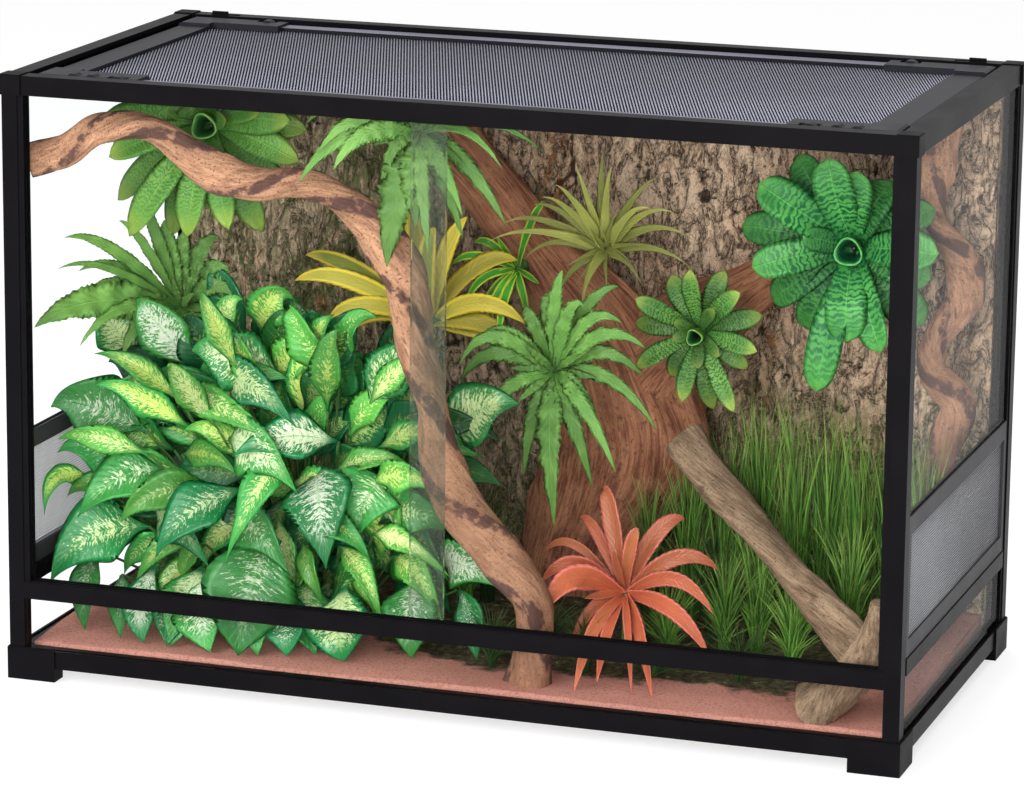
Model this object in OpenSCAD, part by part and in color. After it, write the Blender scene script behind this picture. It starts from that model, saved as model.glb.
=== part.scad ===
// Front-opening reptile terrarium: extruded frame, sliding glass doors,
// ventilated sides, latched screen lid and a planted interior.

/* [Cabinet] */
// Overall width over the corner mouldings
tank_w = 900; // [800:10:1200]
// Overall depth over the corner mouldings
tank_d = 450; // [400:5:600]
// Height from the floor to the top of the frame
tank_h = 600; // [560:5:800]
// How far the plastic corner mouldings stand proud of the rails
proud = 2; // [1:0.5:3]
// Width of the square corner posts
post_w = 16; // [15:0.5:18]
// Wall thickness of the extruded posts
post_wall = 1.6; // [1:0.1:2]
// Radius on the corner mouldings
moulding_r = 1; // [0.5:0.1:1.5]

/* [Glass] */
// Thickness of every pane
glass_t = 4; // [3:0.5:5]
// Free play of a pane in its groove, on each face
glass_play = 0.5; // [0.3:0.1:0.6]
// Recess of the groove behind the face of the rail
groove_in = 2.5; // [2:0.1:3]

/* [Base] */
// Height of the foot pad under the bottom rail
foot_pad = 13; // [8:1:18]
// Length of each arm of a foot
foot_arm = 50; // [36:1:60]
// How far the foot rises above the bottom rail
foot_over = 2; // [0:0.5:3]
// Height of the bottom rail
base_rail_h = 18; // [18:1:22]
// Width of the ledge under the floor pane
floor_ledge = 10; // [6:1:14]

/* [Front] */
// Height of the underside of the door sill
sill_z = 82; // [70:1:100]
// Height of the door sill rail
sill_h = 18; // [18:1:22]
// Width of the overlap between the two doors
door_overlap = 36; // [20:1:60]
// Middle of the overlap, from the middle of the cabinet
split_x = -17; // [-40:1:40]
// Depth of the door grooves in the sill
sill_groove = 7; // [5:0.5:8]
// Thickness of the clear seal strip on the left door
seal_t = 1; // [0.6:0.1:1.2]
// Reach of the door jambs from the posts
jamb_reach = 6; // [4:0.5:8]

/* [Sides] */
// Height of the underside of the middle rail
mid_z = 91; // [86:1:110]
// Height of the middle rail
mid_h = 16; // [12:1:20]
// Height of the ventilation panel with its frame
vent_h = 135; // [100:1:180]
// Width of the frame around the ventilation mesh
vent_rim = 17; // [15:1:22]
// Thickness of the ventilation mesh
vent_mesh_t = 1; // [0.8:0.1:1.2]

/* [Top] */
// Height of the top rail
top_rail_h = 20; // [20:1:24]
// Width of the top rail with its inner lip
top_rail_w = 18; // [17:0.5:20]
// Plan size of the top corner moulding
corner_w = 22; // [21:0.5:26]
// Thickness of the ledge that carries the lid
lid_ledge_t = 3; // [2:0.5:4]
// Reach of the ledge that carries the lid
lid_ledge_w = 19; // [14:1:24]

/* [Lid] */
// Gap around the lid
lid_gap = 5; // [3.5:0.5:6]
// Drop of the lid rails below the frame top
lid_drop = 4; // [3.5:0.5:6]
// Drop of the lid corner mouldings below the frame top
lid_arm_drop = 1.2; // [1:0.1:2.5]
// Width of the back lid rail
lid_rail_w = 24; // [22:1:28]
// Width of the front lid rail
lid_front_w = 22; // [22:1:28]
// Width of the side lid rails and of the mouldings
lid_side_w = 34; // [30:1:40]
// Length of the long arm of a lid moulding
lid_arm = 106; // [100:1:130]
// Length of the short arm of a lid moulding
lid_arm_short = 44; // [42:1:60]
// Drop of the screen below the lid rail top
mesh_drop = 4; // [3:0.5:5]
// Thickness of the lid screen
mesh_t = 1; // [0.8:0.1:1.2]
// Number of open slots across the lid screen
mesh_slots = 16; // [12:1:28]
// Clearance between pieces that move past one another
slide_gap = 0.4; // [0.3:0.1:0.6]
// Width of a lid latch
latch_w = 20; // [16:1:24]
// Length of a lid latch
latch_len = 14; // [12:0.5:15]
// Travel of a lid latch
latch_travel = 6.5; // [6:0.5:7]

/* [Cable gates] */
// Width of the cable hole in the back rail
cable_w = 11; // [8:1:14]
// Length of the sliding gate over the cable hole
gate_len = 17; // [16:1:20]
// Travel of the gate
gate_travel = 14; // [12:1:16]
// Height of the finger tab on the gate
gate_tab = 3; // [2:0.5:4]

/* [Planting] */
// Depth of the sand at the front glass
sand_front = 9; // [6:1:14]
// Further rise of the sand towards the back
sand_rise = 12; // [4:1:20]
// Relief of the bark panel
bark_relief = 9; // [4:1:12]
// Thickness of the leaves
leaf_t = 1.6; // [1.2:0.2:2.4]

/* [Hidden] */
$fn = 32;
eps = 0.01;
face_x = tank_w / 2 - proud;
face_y = tank_d / 2 - proud;
in_x = face_x - post_w;
in_y = face_y - post_w;
slot_w = glass_t + 2 * glass_play;
pane_in = groove_in + glass_play;
rib = 1;
rear_groove = groove_in + slot_w + rib;
rail_body = rear_groove + slot_w + 2;
lip_in = 1.2;
base_top = foot_pad + base_rail_h;
pane_foot = base_top - 8;
floor_z = foot_pad + 8;
floor_top = floor_z + glass_t + 1;
sill_top = sill_z + sill_h;
rail_z = tank_h - top_rail_h;
rail_top = tank_h - 1;
pane_head = rail_z + 9;
door_head = rail_z + 6;
lip_z = rail_top - 5;
vent_z = mid_z + mid_h;
vent_top = vent_z + vent_h;
jamb_in = in_x - 1.5;
door_l0 = -jamb_in + slide_gap;
door_l1 = split_x + door_overlap / 2;
door_r0 = split_x - door_overlap / 2;
door_r1 = jamb_in - slide_gap;
door_z0 = sill_top - sill_groove + slide_gap;
lid_x = face_x - top_rail_w - lid_gap;
lid_y = face_y - top_rail_w - lid_gap;
lid_z = rail_z + lid_ledge_t + slide_gap;
lid_top = rail_top - lid_drop;
arm_top = rail_top - lid_arm_drop;
screen_z = lid_top - mesh_drop;
latch_z = lip_z - 4;
latch_x = lid_x - lid_arm + 21;
gate_z = rail_top - 3;
gate_x = tank_w / 2 - corner_w - 26;
kx = face_x / 448;
ky = face_y / 223;
kz = (rail_z - floor_top) / 554;
bed_x = (in_x - 2 * slide_gap) / kx;

// Placing helpers
module along_x(x0, x1) {
  translate([x0, -face_y, 0])
    rotate([90, 0, 90])
      linear_extrude(x1 - x0) children();
}
module along_y(y0, y1) {
  translate([-face_x, y1, 0])
    rotate([90, 0, 0])
      linear_extrude(y1 - y0) children();
}
module box2(x0, z0, x1, z1) {
  translate([x0, z0]) square([x1 - x0, z1 - z0]);
}
module box3(a, b) {
  translate(a) cube(b - a);
}
module at_corner(sx, sy) {
  mirror([sx > 0 ? 1 : 0, 0, 0])
    mirror([0, sy > 0 ? 1 : 0, 0])
      translate([-face_x, -face_y, 0]) children();
}
module inside() {
  translate([0, 0, floor_top])
    scale([kx, ky, kz])
      translate([0, 0, -26]) children();
}

// Base of the cabinet
module base_profile(ledge) {
  difference() {
    union() {
      box2(0, foot_pad, post_w, base_top);
      if (ledge) box2(post_w, floor_z - 2, post_w + floor_ledge, floor_z);
    }
    box2(groove_in, pane_foot, groove_in + slot_w, base_top + 1);
    box2(post_wall, foot_pad + post_wall, post_w - post_wall, pane_foot - 2);
    box2(groove_in + slot_w + 1.5, pane_foot, post_w - post_wall, base_top - 1.6);
  }
}
module base_rail_front() {
  color([0.09, 0.09, 0.1]) along_x(-in_x, in_x) base_profile(true);
}
module base_rail_back() {
  color([0.09, 0.09, 0.1]) mirror([0, 1, 0]) along_x(-in_x, in_x) base_profile(true);
}
module base_rail_side() {
  along_y(-in_y, in_y) base_profile(false);
  along_y(-in_y + floor_ledge, in_y - floor_ledge)
    box2(post_w, floor_z - 2, post_w + floor_ledge, floor_z);
}
module base_rail_left() {
  color([0.09, 0.09, 0.1]) base_rail_side();
}
module base_rail_right() {
  color([0.09, 0.09, 0.1]) mirror([1, 0, 0]) base_rail_side();
}
module foot() {
  top = base_top + foot_over;
  skirt = proud - moulding_r * 0.6;
  difference() {
    union() {
      box3([-proud, -proud, 0], [foot_arm - proud, post_w + proud, top - moulding_r]);
      box3([-proud, -proud, 0], [post_w + proud, foot_arm - proud, top - moulding_r]);
      box3([-skirt, -skirt, 0], [foot_arm - proud, skirt, top]);
      box3([-skirt, -skirt, 0], [skirt, foot_arm - proud, top]);
    }
    translate([0, 0, foot_pad]) cube([foot_arm, post_w, top]);
    translate([0, 0, foot_pad]) cube([post_w, foot_arm, top]);
    translate([post_w - eps, post_w - eps, foot_pad]) cube(foot_arm);
  }
  plug = post_w - 2 * post_wall - 0.4;
  translate([post_wall + 0.2, post_wall + 0.2, foot_pad - eps]) cube([plug, plug, 14]);
}
module feet() {
  color([0.07, 0.07, 0.08]) {
    at_corner(-1, -1) foot();
    at_corner(1, -1) foot();
    at_corner(-1, 1) foot();
    at_corner(1, 1) foot();
  }
}
module floor_glass() {
  color([0.75, 0.85, 0.85, 0.5])
    box3([-in_x + 0.5, -in_y + 0.5, floor_z], [in_x - 0.5, in_y - 0.5, floor_top]);
}

// Corner posts
module post_plan(front) {
  r = 6;
  difference() {
    square(post_w);
    translate([post_wall, post_wall]) square(post_w - 2 * post_wall);
  }
  box2(lip_in, post_w, groove_in, post_w + r);
  box2(groove_in + slot_w, post_w, groove_in + slot_w + 1.5, post_w + r);
  if (!front) {
    box2(post_w, lip_in, post_w + r, groove_in);
    box2(post_w, groove_in + slot_w, post_w + r, groove_in + slot_w + 1.5);
  }
}
module post_core() {
  difference() {
    square(post_w);
    translate([post_wall, post_wall]) square(post_w - 2 * post_wall);
  }
}
module post(front) {
  translate([0, 0, foot_pad]) linear_extrude(base_top - foot_pad) post_core();
  translate([0, 0, base_top]) linear_extrude(rail_z - base_top) post_plan(front);
}
module post_front_left() {
  color([0.09, 0.09, 0.1]) at_corner(-1, -1) post(true);
}
module post_front_right() {
  color([0.09, 0.09, 0.1]) at_corner(1, -1) post(true);
}
module post_back_left() {
  color([0.09, 0.09, 0.1]) at_corner(-1, 1) post(false);
}
module post_back_right() {
  color([0.09, 0.09, 0.1]) at_corner(1, 1) post(false);
}

// Top frame
module top_profile(front) {
  head = rail_z + 14;
  difference() {
    union() {
      box2(0, rail_z, rail_body, rail_top);
      box2(rail_body - eps, lip_z, top_rail_w, rail_top);
    }
    box2(groove_in, rail_z - 1, groove_in + slot_w, front ? head : pane_head + 1);
    if (front) {
      box2(rear_groove, rail_z - 1, rear_groove + slot_w, head);
    } else {
      box2(rear_groove + 0.5, rail_z + 4, rail_body - 1.6, rail_z + 12);
    }
  }
}
module lid_ledge() {
  box2(rail_body - eps, rail_z, rail_body + lid_ledge_w, rail_z + lid_ledge_t);
}
module top_rail_x(front) {
  span = tank_w / 2 - corner_w;
  along_x(-span, span) top_profile(front);
  along_x(-span, span) lid_ledge();
}
module top_rail_y() {
  span = tank_d / 2 - corner_w;
  inner = face_y - rail_body - lid_ledge_w;
  along_y(-span, span) top_profile(false);
  along_y(-inner, inner) lid_ledge();
}
module gate_cuts(side) {
  lo = face_y - rear_groove - slot_w;
  x0 = side * gate_x;
  x1 = x0 - side * gate_travel;
  far = max(x0, x1) + gate_len / 2 + slide_gap;
  near = min(x0, x1) - gate_len / 2 - slide_gap;
  box3([near, lo - 1.2, gate_z], [far, lo + 6.4, rail_top + 1]);
  box3([x0 - cable_w / 2, lo + 0.2, rail_z - 1], [x0 + cable_w / 2, lo + 5, rail_top]);
}
module top_rail_front() {
  color([0.09, 0.09, 0.1]) top_rail_x(true);
}
module top_rail_back() {
  color([0.09, 0.09, 0.1]) difference() {
    mirror([0, 1, 0]) top_rail_x(false);
    gate_cuts(-1);
    gate_cuts(1);
  }
}
module top_rail_left() {
  color([0.09, 0.09, 0.1]) top_rail_y();
}
module top_rail_right() {
  color([0.09, 0.09, 0.1]) mirror([1, 0, 0]) top_rail_y();
}
module top_corner(front) {
  plug = post_w - 2 * post_wall - 0.4;
  head = front ? rail_z + 14 : pane_head + 1;
  difference() {
    union() {
      box3([-proud, -proud, rail_z], [corner_w - proud, corner_w - proud, tank_h - moulding_r]);
      box3([0.6 - proud, 0.6 - proud, rail_z],
        [corner_w - proud - 0.6, corner_w - proud - 0.6, tank_h]);
    }
    box3([groove_in, post_w - 0.5, rail_z - 1],
      [groove_in + slot_w, corner_w + 1, pane_head + 1]);
    box3([post_w - 0.5, groove_in, rail_z - 1],
      [corner_w, groove_in + slot_w, head]);
    if (front)
      box3([post_w - 0.5, rear_groove, rail_z - 1],
        [corner_w, rear_groove + slot_w, head]);
  }
  translate([post_wall + 0.2, post_wall + 0.2, rail_z - 18]) cube([plug, plug, 18.5]);
}
module top_corners() {
  color([0.07, 0.07, 0.08]) {
    at_corner(-1, -1) top_corner(true);
    at_corner(1, -1) top_corner(true);
    at_corner(-1, 1) top_corner(false);
    at_corner(1, 1) top_corner(false);
  }
}

// Front: sill, jambs, fixed pane and two sliding doors
module door_sill() {
  bevel = 1.5;
  color([0.09, 0.09, 0.1]) along_x(-in_x, in_x) difference() {
    polygon([[0, sill_z], [rail_body, sill_z], [rail_body, sill_top],
      [bevel, sill_top], [0, sill_top - bevel]]);
    box2(groove_in, sill_top - sill_groove, groove_in + slot_w, sill_top + 1);
    box2(rear_groove, sill_top - sill_groove, rear_groove + slot_w, sill_top + 1);
    box2(groove_in, sill_z - 1, groove_in + slot_w, sill_z + 8);
    box2(rear_groove + 0.5, sill_z + 1.6, rail_body - 1.6, sill_top - sill_groove - 1.6);
  }
}
module jamb() {
  translate([post_w, 0, sill_top]) linear_extrude(rail_z - sill_top) {
    box2(0, lip_in, 1.5, rail_body);
    box2(0, lip_in, jamb_reach, groove_in);
    box2(0, groove_in + slot_w, jamb_reach, rear_groove);
    box2(0, rail_body - 2, jamb_reach, rail_body);
  }
}
module door_jambs() {
  color([0.06, 0.06, 0.07]) {
    at_corner(-1, -1) jamb();
    at_corner(1, -1) jamb();
  }
}
module front_low_glass() {
  color([0.75, 0.85, 0.85, 0.5])
    box3([-in_x + 0.5, -face_y + pane_in, pane_foot],
      [in_x - 0.5, -face_y + pane_in + glass_t, sill_z + 7]);
}
module door_left_glass() {
  color([0.75, 0.87, 0.87, 0.4])
    box3([door_l0, -face_y + pane_in, door_z0], [door_l1, -face_y + pane_in + glass_t, door_head]);
}
module door_right_glass() {
  y0 = -face_y + rear_groove + glass_play;
  color([0.75, 0.87, 0.87, 0.4])
    box3([door_r0, y0, door_z0], [door_r1, y0 + glass_t, door_head]);
}
module door_seal() {
  y0 = -face_y + pane_in + glass_t;
  color([0.7, 0.78, 0.75, 0.5])
    box3([door_r0, y0, sill_top + 3], [door_l1, y0 + seal_t, rail_z - 3]);
}
module back_glass() {
  color([0.75, 0.85, 0.85, 0.5])
    box3([-in_x + 0.5, face_y - pane_in - glass_t, pane_foot],
      [in_x - 0.5, face_y - pane_in, pane_head]);
}

// Sides: panes, middle rail and ventilation panel
module side_pane(z0, z1) {
  box3([-face_x + pane_in, -in_y + 0.5, z0], [-face_x + pane_in + glass_t, in_y - 0.5, z1]);
}
module side_glass_left() {
  color([0.75, 0.85, 0.85, 0.5]) side_pane(vent_top - 8, pane_head);
}
module side_glass_right() {
  color([0.75, 0.85, 0.85, 0.5]) mirror([1, 0, 0]) side_pane(vent_top - 8, pane_head);
}
module low_glass_left() {
  color([0.75, 0.85, 0.85, 0.5]) side_pane(pane_foot, mid_z + 7);
}
module low_glass_right() {
  color([0.75, 0.85, 0.85, 0.5]) mirror([1, 0, 0]) side_pane(pane_foot, mid_z + 7);
}
module mid_rail_side() {
  span = in_y - 6;
  along_y(-span, span) difference() {
    box2(0, mid_z, post_w - 2, vent_z);
    box2(groove_in, mid_z - 1, groove_in + slot_w, mid_z + 8);
    box2(groove_in, mid_z + 9.5, post_w - 4, vent_z - 1.6);
  }
}
module mid_rail_left() {
  color([0.09, 0.09, 0.1]) mid_rail_side();
}
module mid_rail_right() {
  color([0.09, 0.09, 0.1]) mirror([1, 0, 0]) mid_rail_side();
}
module vent_ring(d0, d1, rim) {
  span = in_y - 6;
  translate([-face_x + d0, 0, 0]) rotate([90, 0, 90]) linear_extrude(d1 - d0) difference() {
    box2(-span, vent_z, span, vent_top);
    box2(-span + rim - 9, vent_z + rim, span - rim + 9, vent_top - rim - 1);
  }
}
module vent_frame_side() {
  depth = groove_in + slot_w + 1.5;
  mid = depth / 2;
  half = vent_mesh_t / 2;
  difference() {
    union() {
      vent_ring(lip_in, mid - half, vent_rim);
      vent_ring(mid - half - eps, mid + half + eps, vent_rim - 4);
      vent_ring(mid + half, depth, vent_rim);
    }
    box3([-face_x + groove_in, -in_y, vent_top - 8],
      [-face_x + groove_in + slot_w, in_y, vent_top + 1]);
  }
}
module vent_frame_left() {
  color([0.35, 0.35, 0.38]) vent_frame_side();
}
module vent_frame_right() {
  color([0.35, 0.35, 0.38]) mirror([1, 0, 0]) vent_frame_side();
}
module vent_mesh_side() {
  span = in_y - 6 - vent_rim + 13;
  z0 = vent_z + vent_rim - 4;
  z1 = vent_top - vent_rim + 3;
  mid = (groove_in + slot_w + 1.5) / 2;
  n = 10;
  pitch = 2 * (span - 8) / n;
  translate([-face_x + mid - vent_mesh_t / 2, 0, 0])
    rotate([90, 0, 90])
      linear_extrude(vent_mesh_t)
        difference() {
          box2(-span, z0, span, z1);
          for (i = [0 : n - 1])
            translate([-span + 8 + (i + 0.5) * pitch, (z0 + z1) / 2])
              square([pitch - 4, z1 - z0 - 16], center = true);
        }
}
module vent_mesh_left() {
  color([0.55, 0.55, 0.57]) vent_mesh_side();
}
module vent_mesh_right() {
  color([0.55, 0.55, 0.57]) mirror([1, 0, 0]) vent_mesh_side();
}

// Lid: four rails, four mouldings, the screen and four sliding latches
module lid_profile(w, top) {
  r = 4;
  difference() {
    polygon([[0, lid_z], [w, lid_z], [w, top], [r, top], [r * 0.3, top - r * 0.3], [0, top - r]]);
    box2(w - 6, screen_z - mesh_t / 2, w + 1, screen_z + mesh_t / 2);
    box2(1.6, lid_z + 1.6, w - 8, top - r - 0.5);
  }
}
module lid_edge_x(x0, x1) {
  translate([x0, -lid_y, 0]) rotate([90, 0, 90]) linear_extrude(x1 - x0) children();
}
module lid_edge_y(y0, y1) {
  translate([-lid_x, y1, 0]) rotate([90, 0, 0]) linear_extrude(y1 - y0) children();
}
module lid_rails() {
  sx = lid_x - lid_arm;
  sy = lid_y - lid_arm_short;
  color([0.1, 0.1, 0.11]) {
    lid_edge_x(-sx, sx) lid_profile(lid_front_w, lid_top);
    mirror([0, 1, 0]) lid_edge_x(-sx, sx) lid_profile(lid_rail_w, lid_top);
    lid_edge_y(-sy, sy) lid_profile(lid_side_w, lid_top);
    mirror([1, 0, 0]) lid_edge_y(-sy, sy) lid_profile(lid_side_w, lid_top);
  }
}
module arm_profile(w) {
  r = 4;
  polygon([[0, lid_z], [w, lid_z], [w, arm_top], [r, arm_top], [r * 0.3, arm_top - r * 0.3],
    [0, arm_top - r]]);
}
module screen_box() {
  box3([-lid_x + lid_side_w - 6, -lid_y + lid_front_w - 6, screen_z - mesh_t / 2],
    [lid_x - lid_side_w + 6, lid_y - lid_rail_w + 6, screen_z + mesh_t / 2]);
}
module latch_pocket() {
  half = latch_w / 2 + slide_gap;
  box3([-latch_x - half, -lid_y - 1, latch_z - slide_gap],
    [-latch_x + half, -lid_y + latch_len + 1, arm_top + 1]);
}
module lid_moulding(bumps) {
  w = lid_side_w;
  difference() {
    union() {
      intersection() {
        union() {
          box3([-lid_x, -lid_y, lid_z], [-lid_x + lid_arm, -lid_y + w, arm_top]);
          box3([-lid_x, -lid_y, lid_z], [-lid_x + w, -lid_y + lid_arm_short, arm_top]);
        }
        lid_edge_x(-lid_x, lid_x) arm_profile(2 * lid_arm);
        lid_edge_y(-lid_y, lid_y) arm_profile(2 * lid_arm);
      }
      if (bumps) for (k = [40, 59])
        translate([-latch_x - k + 14, -lid_y + 2.5, arm_top - 5])
          rotate([-90, 0, 0]) cylinder(r = 7.5, h = 11, $fn = 10);
    }
    latch_pocket();
  }
}
module lid_corners() {
  color([0.08, 0.08, 0.09]) difference() {
    union() {
      lid_moulding(true);
      mirror([1, 0, 0]) lid_moulding(true);
      mirror([0, 1, 0]) lid_moulding(false);
      mirror([1, 0, 0]) mirror([0, 1, 0]) lid_moulding(false);
    }
    screen_box();
  }
}
module lid_screen() {
  x1 = lid_x - lid_side_w - 3;
  y0 = -lid_y + lid_side_w + 3;
  y1 = lid_y - lid_side_w - 3;
  pitch = 2 * x1 / mesh_slots;
  color([0.3, 0.3, 0.34])
    translate([0, 0, screen_z - mesh_t / 2]) linear_extrude(mesh_t) difference() {
      box2(-lid_x + lid_side_w - 6, -lid_y + lid_front_w - 6,
        lid_x - lid_side_w + 6, lid_y - lid_rail_w + 6);
      for (i = [0 : mesh_slots - 1])
        for (j = [0, 1])
          translate([-x1 + (i + 0.5) * pitch, j == 0 ? y0 / 2 : y1 / 2])
            square([pitch * 0.7, (y1 - y0) / 2 - 6], center = true);
    }
}
module latch() {
  half = latch_w / 2;
  top = lip_z - slide_gap;
  box3([-latch_x - half, -lid_y, latch_z], [-latch_x + half, -lid_y + latch_len, top]);
  difference() {
    translate([-latch_x, -lid_y + 3, latch_z + 0.6])
      rotate([-90, 0, 0]) cylinder(r = half - 1, h = latch_len - 4);
    box3([-latch_x - half, -lid_y, latch_z - half], [-latch_x + half, lid_y, latch_z]);
  }
}
module latch_front_left() {
  color([0.13, 0.13, 0.14]) latch();
}
module latch_front_right() {
  color([0.13, 0.13, 0.14]) mirror([1, 0, 0]) latch();
}
module latch_back_left() {
  color([0.13, 0.13, 0.14]) mirror([0, 1, 0]) latch();
}
module latch_back_right() {
  color([0.13, 0.13, 0.14]) mirror([1, 0, 0]) mirror([0, 1, 0]) latch();
}

// Sliding gates over the cable holes in the back rail
module cable_gate(side) {
  lo = face_y - rear_groove - slot_w;
  x0 = side * gate_x;
  z0 = gate_z + slide_gap;
  box3([x0 - gate_len / 2, lo - 0.8, z0], [x0 + gate_len / 2, lo + 6, rail_top - 0.2]);
  box3([x0 - gate_len / 2, lo + 3, z0], [x0 + gate_len / 2, lo + 6, tank_h + gate_tab - 1]);
}
module cable_gate_left() {
  color([0.06, 0.06, 0.07]) cable_gate(-1);
}
module cable_gate_right() {
  color([0.06, 0.06, 0.07]) cable_gate(1);
}

// Planting helpers. Nominal millimetres of a 900 x 450 x 600 cabinet,
// fitted to the real inside by inside().
function unit(v) = v / norm(v);
function lerp(a, b, t) = a + (b - a) * t;
function curve(p, i, t) =
  let (a = p[max(i - 1, 0)], b = p[i], c = p[i + 1], d = p[min(i + 2, len(p) - 1)])
  0.5 * (2 * b + (c - a) * t + (2 * a - 5 * b + 4 * c - d) * t * t
    + (3 * b - a - 3 * c + d) * t * t * t);
function smooth(p, k) = [for (i = [0 : len(p) - 2], j = [0 : k - 1]) curve(p, i, j / k),
  p[len(p) - 1]];
function wave(k, s) = sin(k * 137.5 + s * 53);
function heading(q, i) = unit(q[min(i + 1, len(q) - 1)] - q[max(i - 1, 0)]);
function sand_z(x, y) = 26 + (sand_front + sand_rise * (y + 203) / 387) / kz
  + 2 * sin(x * 1.1 + 40) * cos(y * 1.5);
function bark_y(x, z) = 193 + bark_relief / ky * (0.5 * sin(x * 2.3 + 40 * sin(z * 1.7))
  + 0.35 * sin(z * 1.3 + x * 0.8));

module skin(pts, m, n) {
  rings = [for (i = [0 : n - 2], j = [0 : m - 1])
    each [[i * m + j, i * m + (j + 1) % m, (i + 1) * m + j],
      [i * m + (j + 1) % m, (i + 1) * m + (j + 1) % m, (i + 1) * m + j]]];
  low = [[for (j = [0 : m - 1]) m - 1 - j]];
  high = [[for (j = [0 : m - 1]) (n - 1) * m + j]];
  polyhedron(pts, concat(rings, low, high), convexity = 6);
}
// A limb along path p; row k of size is [half width, half depth, turn].
module limb(p, size, k = 2, m = 10) {
  q = smooth(p, k);
  r = smooth(size, k);
  n = len(q);
  pts = [for (i = [0 : n - 1])
    let (t = heading(q, i), s = unit(cross(t, [0, 1, 0])), d = cross(s, t), w = r[i][2])
    for (j = [0 : m - 1])
      let (a = j * 360 / m, u = r[i][0] * cos(a), v = r[i][1] * sin(a))
      q[i] + s * (u * cos(w) - v * sin(w)) + d * (u * sin(w) + v * cos(w))];
  skin(pts, m, n);
}
module knot(c, d, r) {
  hull() {
    translate(c - d) cube(r, center = true);
    translate(c + d) rotate([30, 40, 0]) cube(r * 1.2, center = true);
  }
}
// Knots along a limb, one at each point of the path.
module knots(p, r) {
  n = min(len(p) - 2, 7);
  for (i = [0 : n]) knot(lerp(p[i], p[i + 1], 0.5), (p[i + 1] - p[i]) * 0.12, r);
}
// Leaf widths at even steps from base to tip.
OVAL = [0.12, 0.86, 0.9, 0.04];
STRAP = [0.25, 1, 0.86, 0.16];
FROND = [0.3, 1, 0.8, 0.08];
BLADE = [1, 0.8, 0.12];
// Leaf from p towards angle a in the front plane; fwd brings the tip
// forward, bow arches it, droop lets the tip hang, keel folds it up. A
// root joins it to a stem by a thin stalk.
module leaf(p, a, length, width, shape, fwd = 20, bow = 12, droop = 20, keel = 0.12,
    root = undef) {
  n = len(shape);
  blade = [for (i = [0 : n - 1]) let (s = i / (n - 1))
    p + length * s * [cos(a), 0, sin(a)]
      + [0, -fwd * s - bow * 4 * s * (1 - s), -droop * s * s]];
  q = is_undef(root) ? blade : concat([root], blade);
  g = is_undef(root) ? shape : concat([2.4 / width], shape);
  pts = [for (i = [0 : len(q) - 1])
    let (t = heading(q, i), c = unit(cross(t, [0, -1, 0.25])), f = cross(c, t),
      w = width * g[i] / 2, h = leaf_t / ky * (0.5 + 0.5 * g[i]))
    each [q[i] + c * w + f * w * keel, q[i] - c * w + f * w * keel, q[i] - f * h]];
  skin(pts, 3, len(q));
}
module stalk(a, b, r = 1.6) {
  hull() {
    translate(a) cube(2 * r, center = true);
    translate(b) cube(1.4 * r, center = true);
  }
}
// Rosette that faces the front: rings of leaves round a crown.
module rosette(c, count, length, width, shape, a0 = 0, fwd = 30, bow = 16, droop = 14,
    up = 1, keel = 0.12) {
  for (k = [0 : count - 1]) {
    a = a0 + k * 360 / count + 6 * wave(k, 1);
    s = k % 2 == 0 ? 1 : 0.86;
    grow = sin(a) > 0 ? 1 - (1 - up) * sin(a) : 1;
    leaf(c + 5 * [cos(a), 0, sin(a)], a, length * s * grow, width * (0.9 + 0.1 * s), shape,
      fwd * (k % 2 == 0 ? 0.5 : 1.1), bow, droop, keel);
  }
}
module crown(c, r) {
  hull() {
    translate(c - [0, r * 0.5, 0]) rotate([90, 0, 0]) cylinder(r = r * 0.5, h = 1, $fn = 8);
    translate(c + [0, r, 0]) rotate([90, 0, 0]) cylinder(r = r, h = 1, $fn = 8);
  }
  for (k = [0 : 7]) stalk(c + [0, r * 0.5, 0], c + r * 0.5 * [cos(k * 45), 0.5, sin(k * 45)], 1);
}
module peg(c, y) {
  translate([c[0], c[1] + 2, c[2]]) rotate([-90, 0, 0]) cylinder(r = 4, h = y - c[1] - 2, $fn = 8);
}
module side_peg(c, x) {
  translate([x, c[1] + 6, c[2]]) rotate([0, 90, 0]) cylinder(r = 4, h = c[0] - x, $fn = 8);
  translate([x, c[1] + 6, c[2]]) rotate([0, 90, 0]) cylinder(r = 14, h = 3, $fn = 12);
}

// Sand, bark panel and wood
// Closed solid below a grid of points; low(p) is the foot of a border point.
function grid_faces(nx, ny, flip) =
  let (n = (nx + 1) * (ny + 1), w = ny + 1, f0 = n, b0 = n + nx + 1)
  [for (t = concat(
    [for (i = [0 : nx - 1], j = [0 : ny - 1]) let (a = i * w + j)
      each [[a, a + 1, a + w], [a + 1, a + w + 1, a + w]]],
    [for (i = [0 : nx - 1]) each [[f0 + i, i * w, (i + 1) * w], [f0 + i, (i + 1) * w, f0 + i + 1]]],
    [for (i = [0 : nx - 1]) each [[b0 + i, (i + 1) * w + ny, i * w + ny],
      [b0 + i, b0 + i + 1, (i + 1) * w + ny]]],
    [for (i = [0 : nx - 1]) each [[f0 + i, f0 + i + 1, b0 + i], [f0 + i + 1, b0 + i + 1, b0 + i]]],
    [for (j = [0 : ny - 1]) [f0, j + 1, j]],
    [[f0, b0, ny]],
    [for (j = [0 : ny - 1]) [f0 + nx, nx * w + j, nx * w + j + 1]],
    [[f0 + nx, nx * w + ny, b0 + nx]])) flip ? [t[0], t[2], t[1]] : t];
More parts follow.
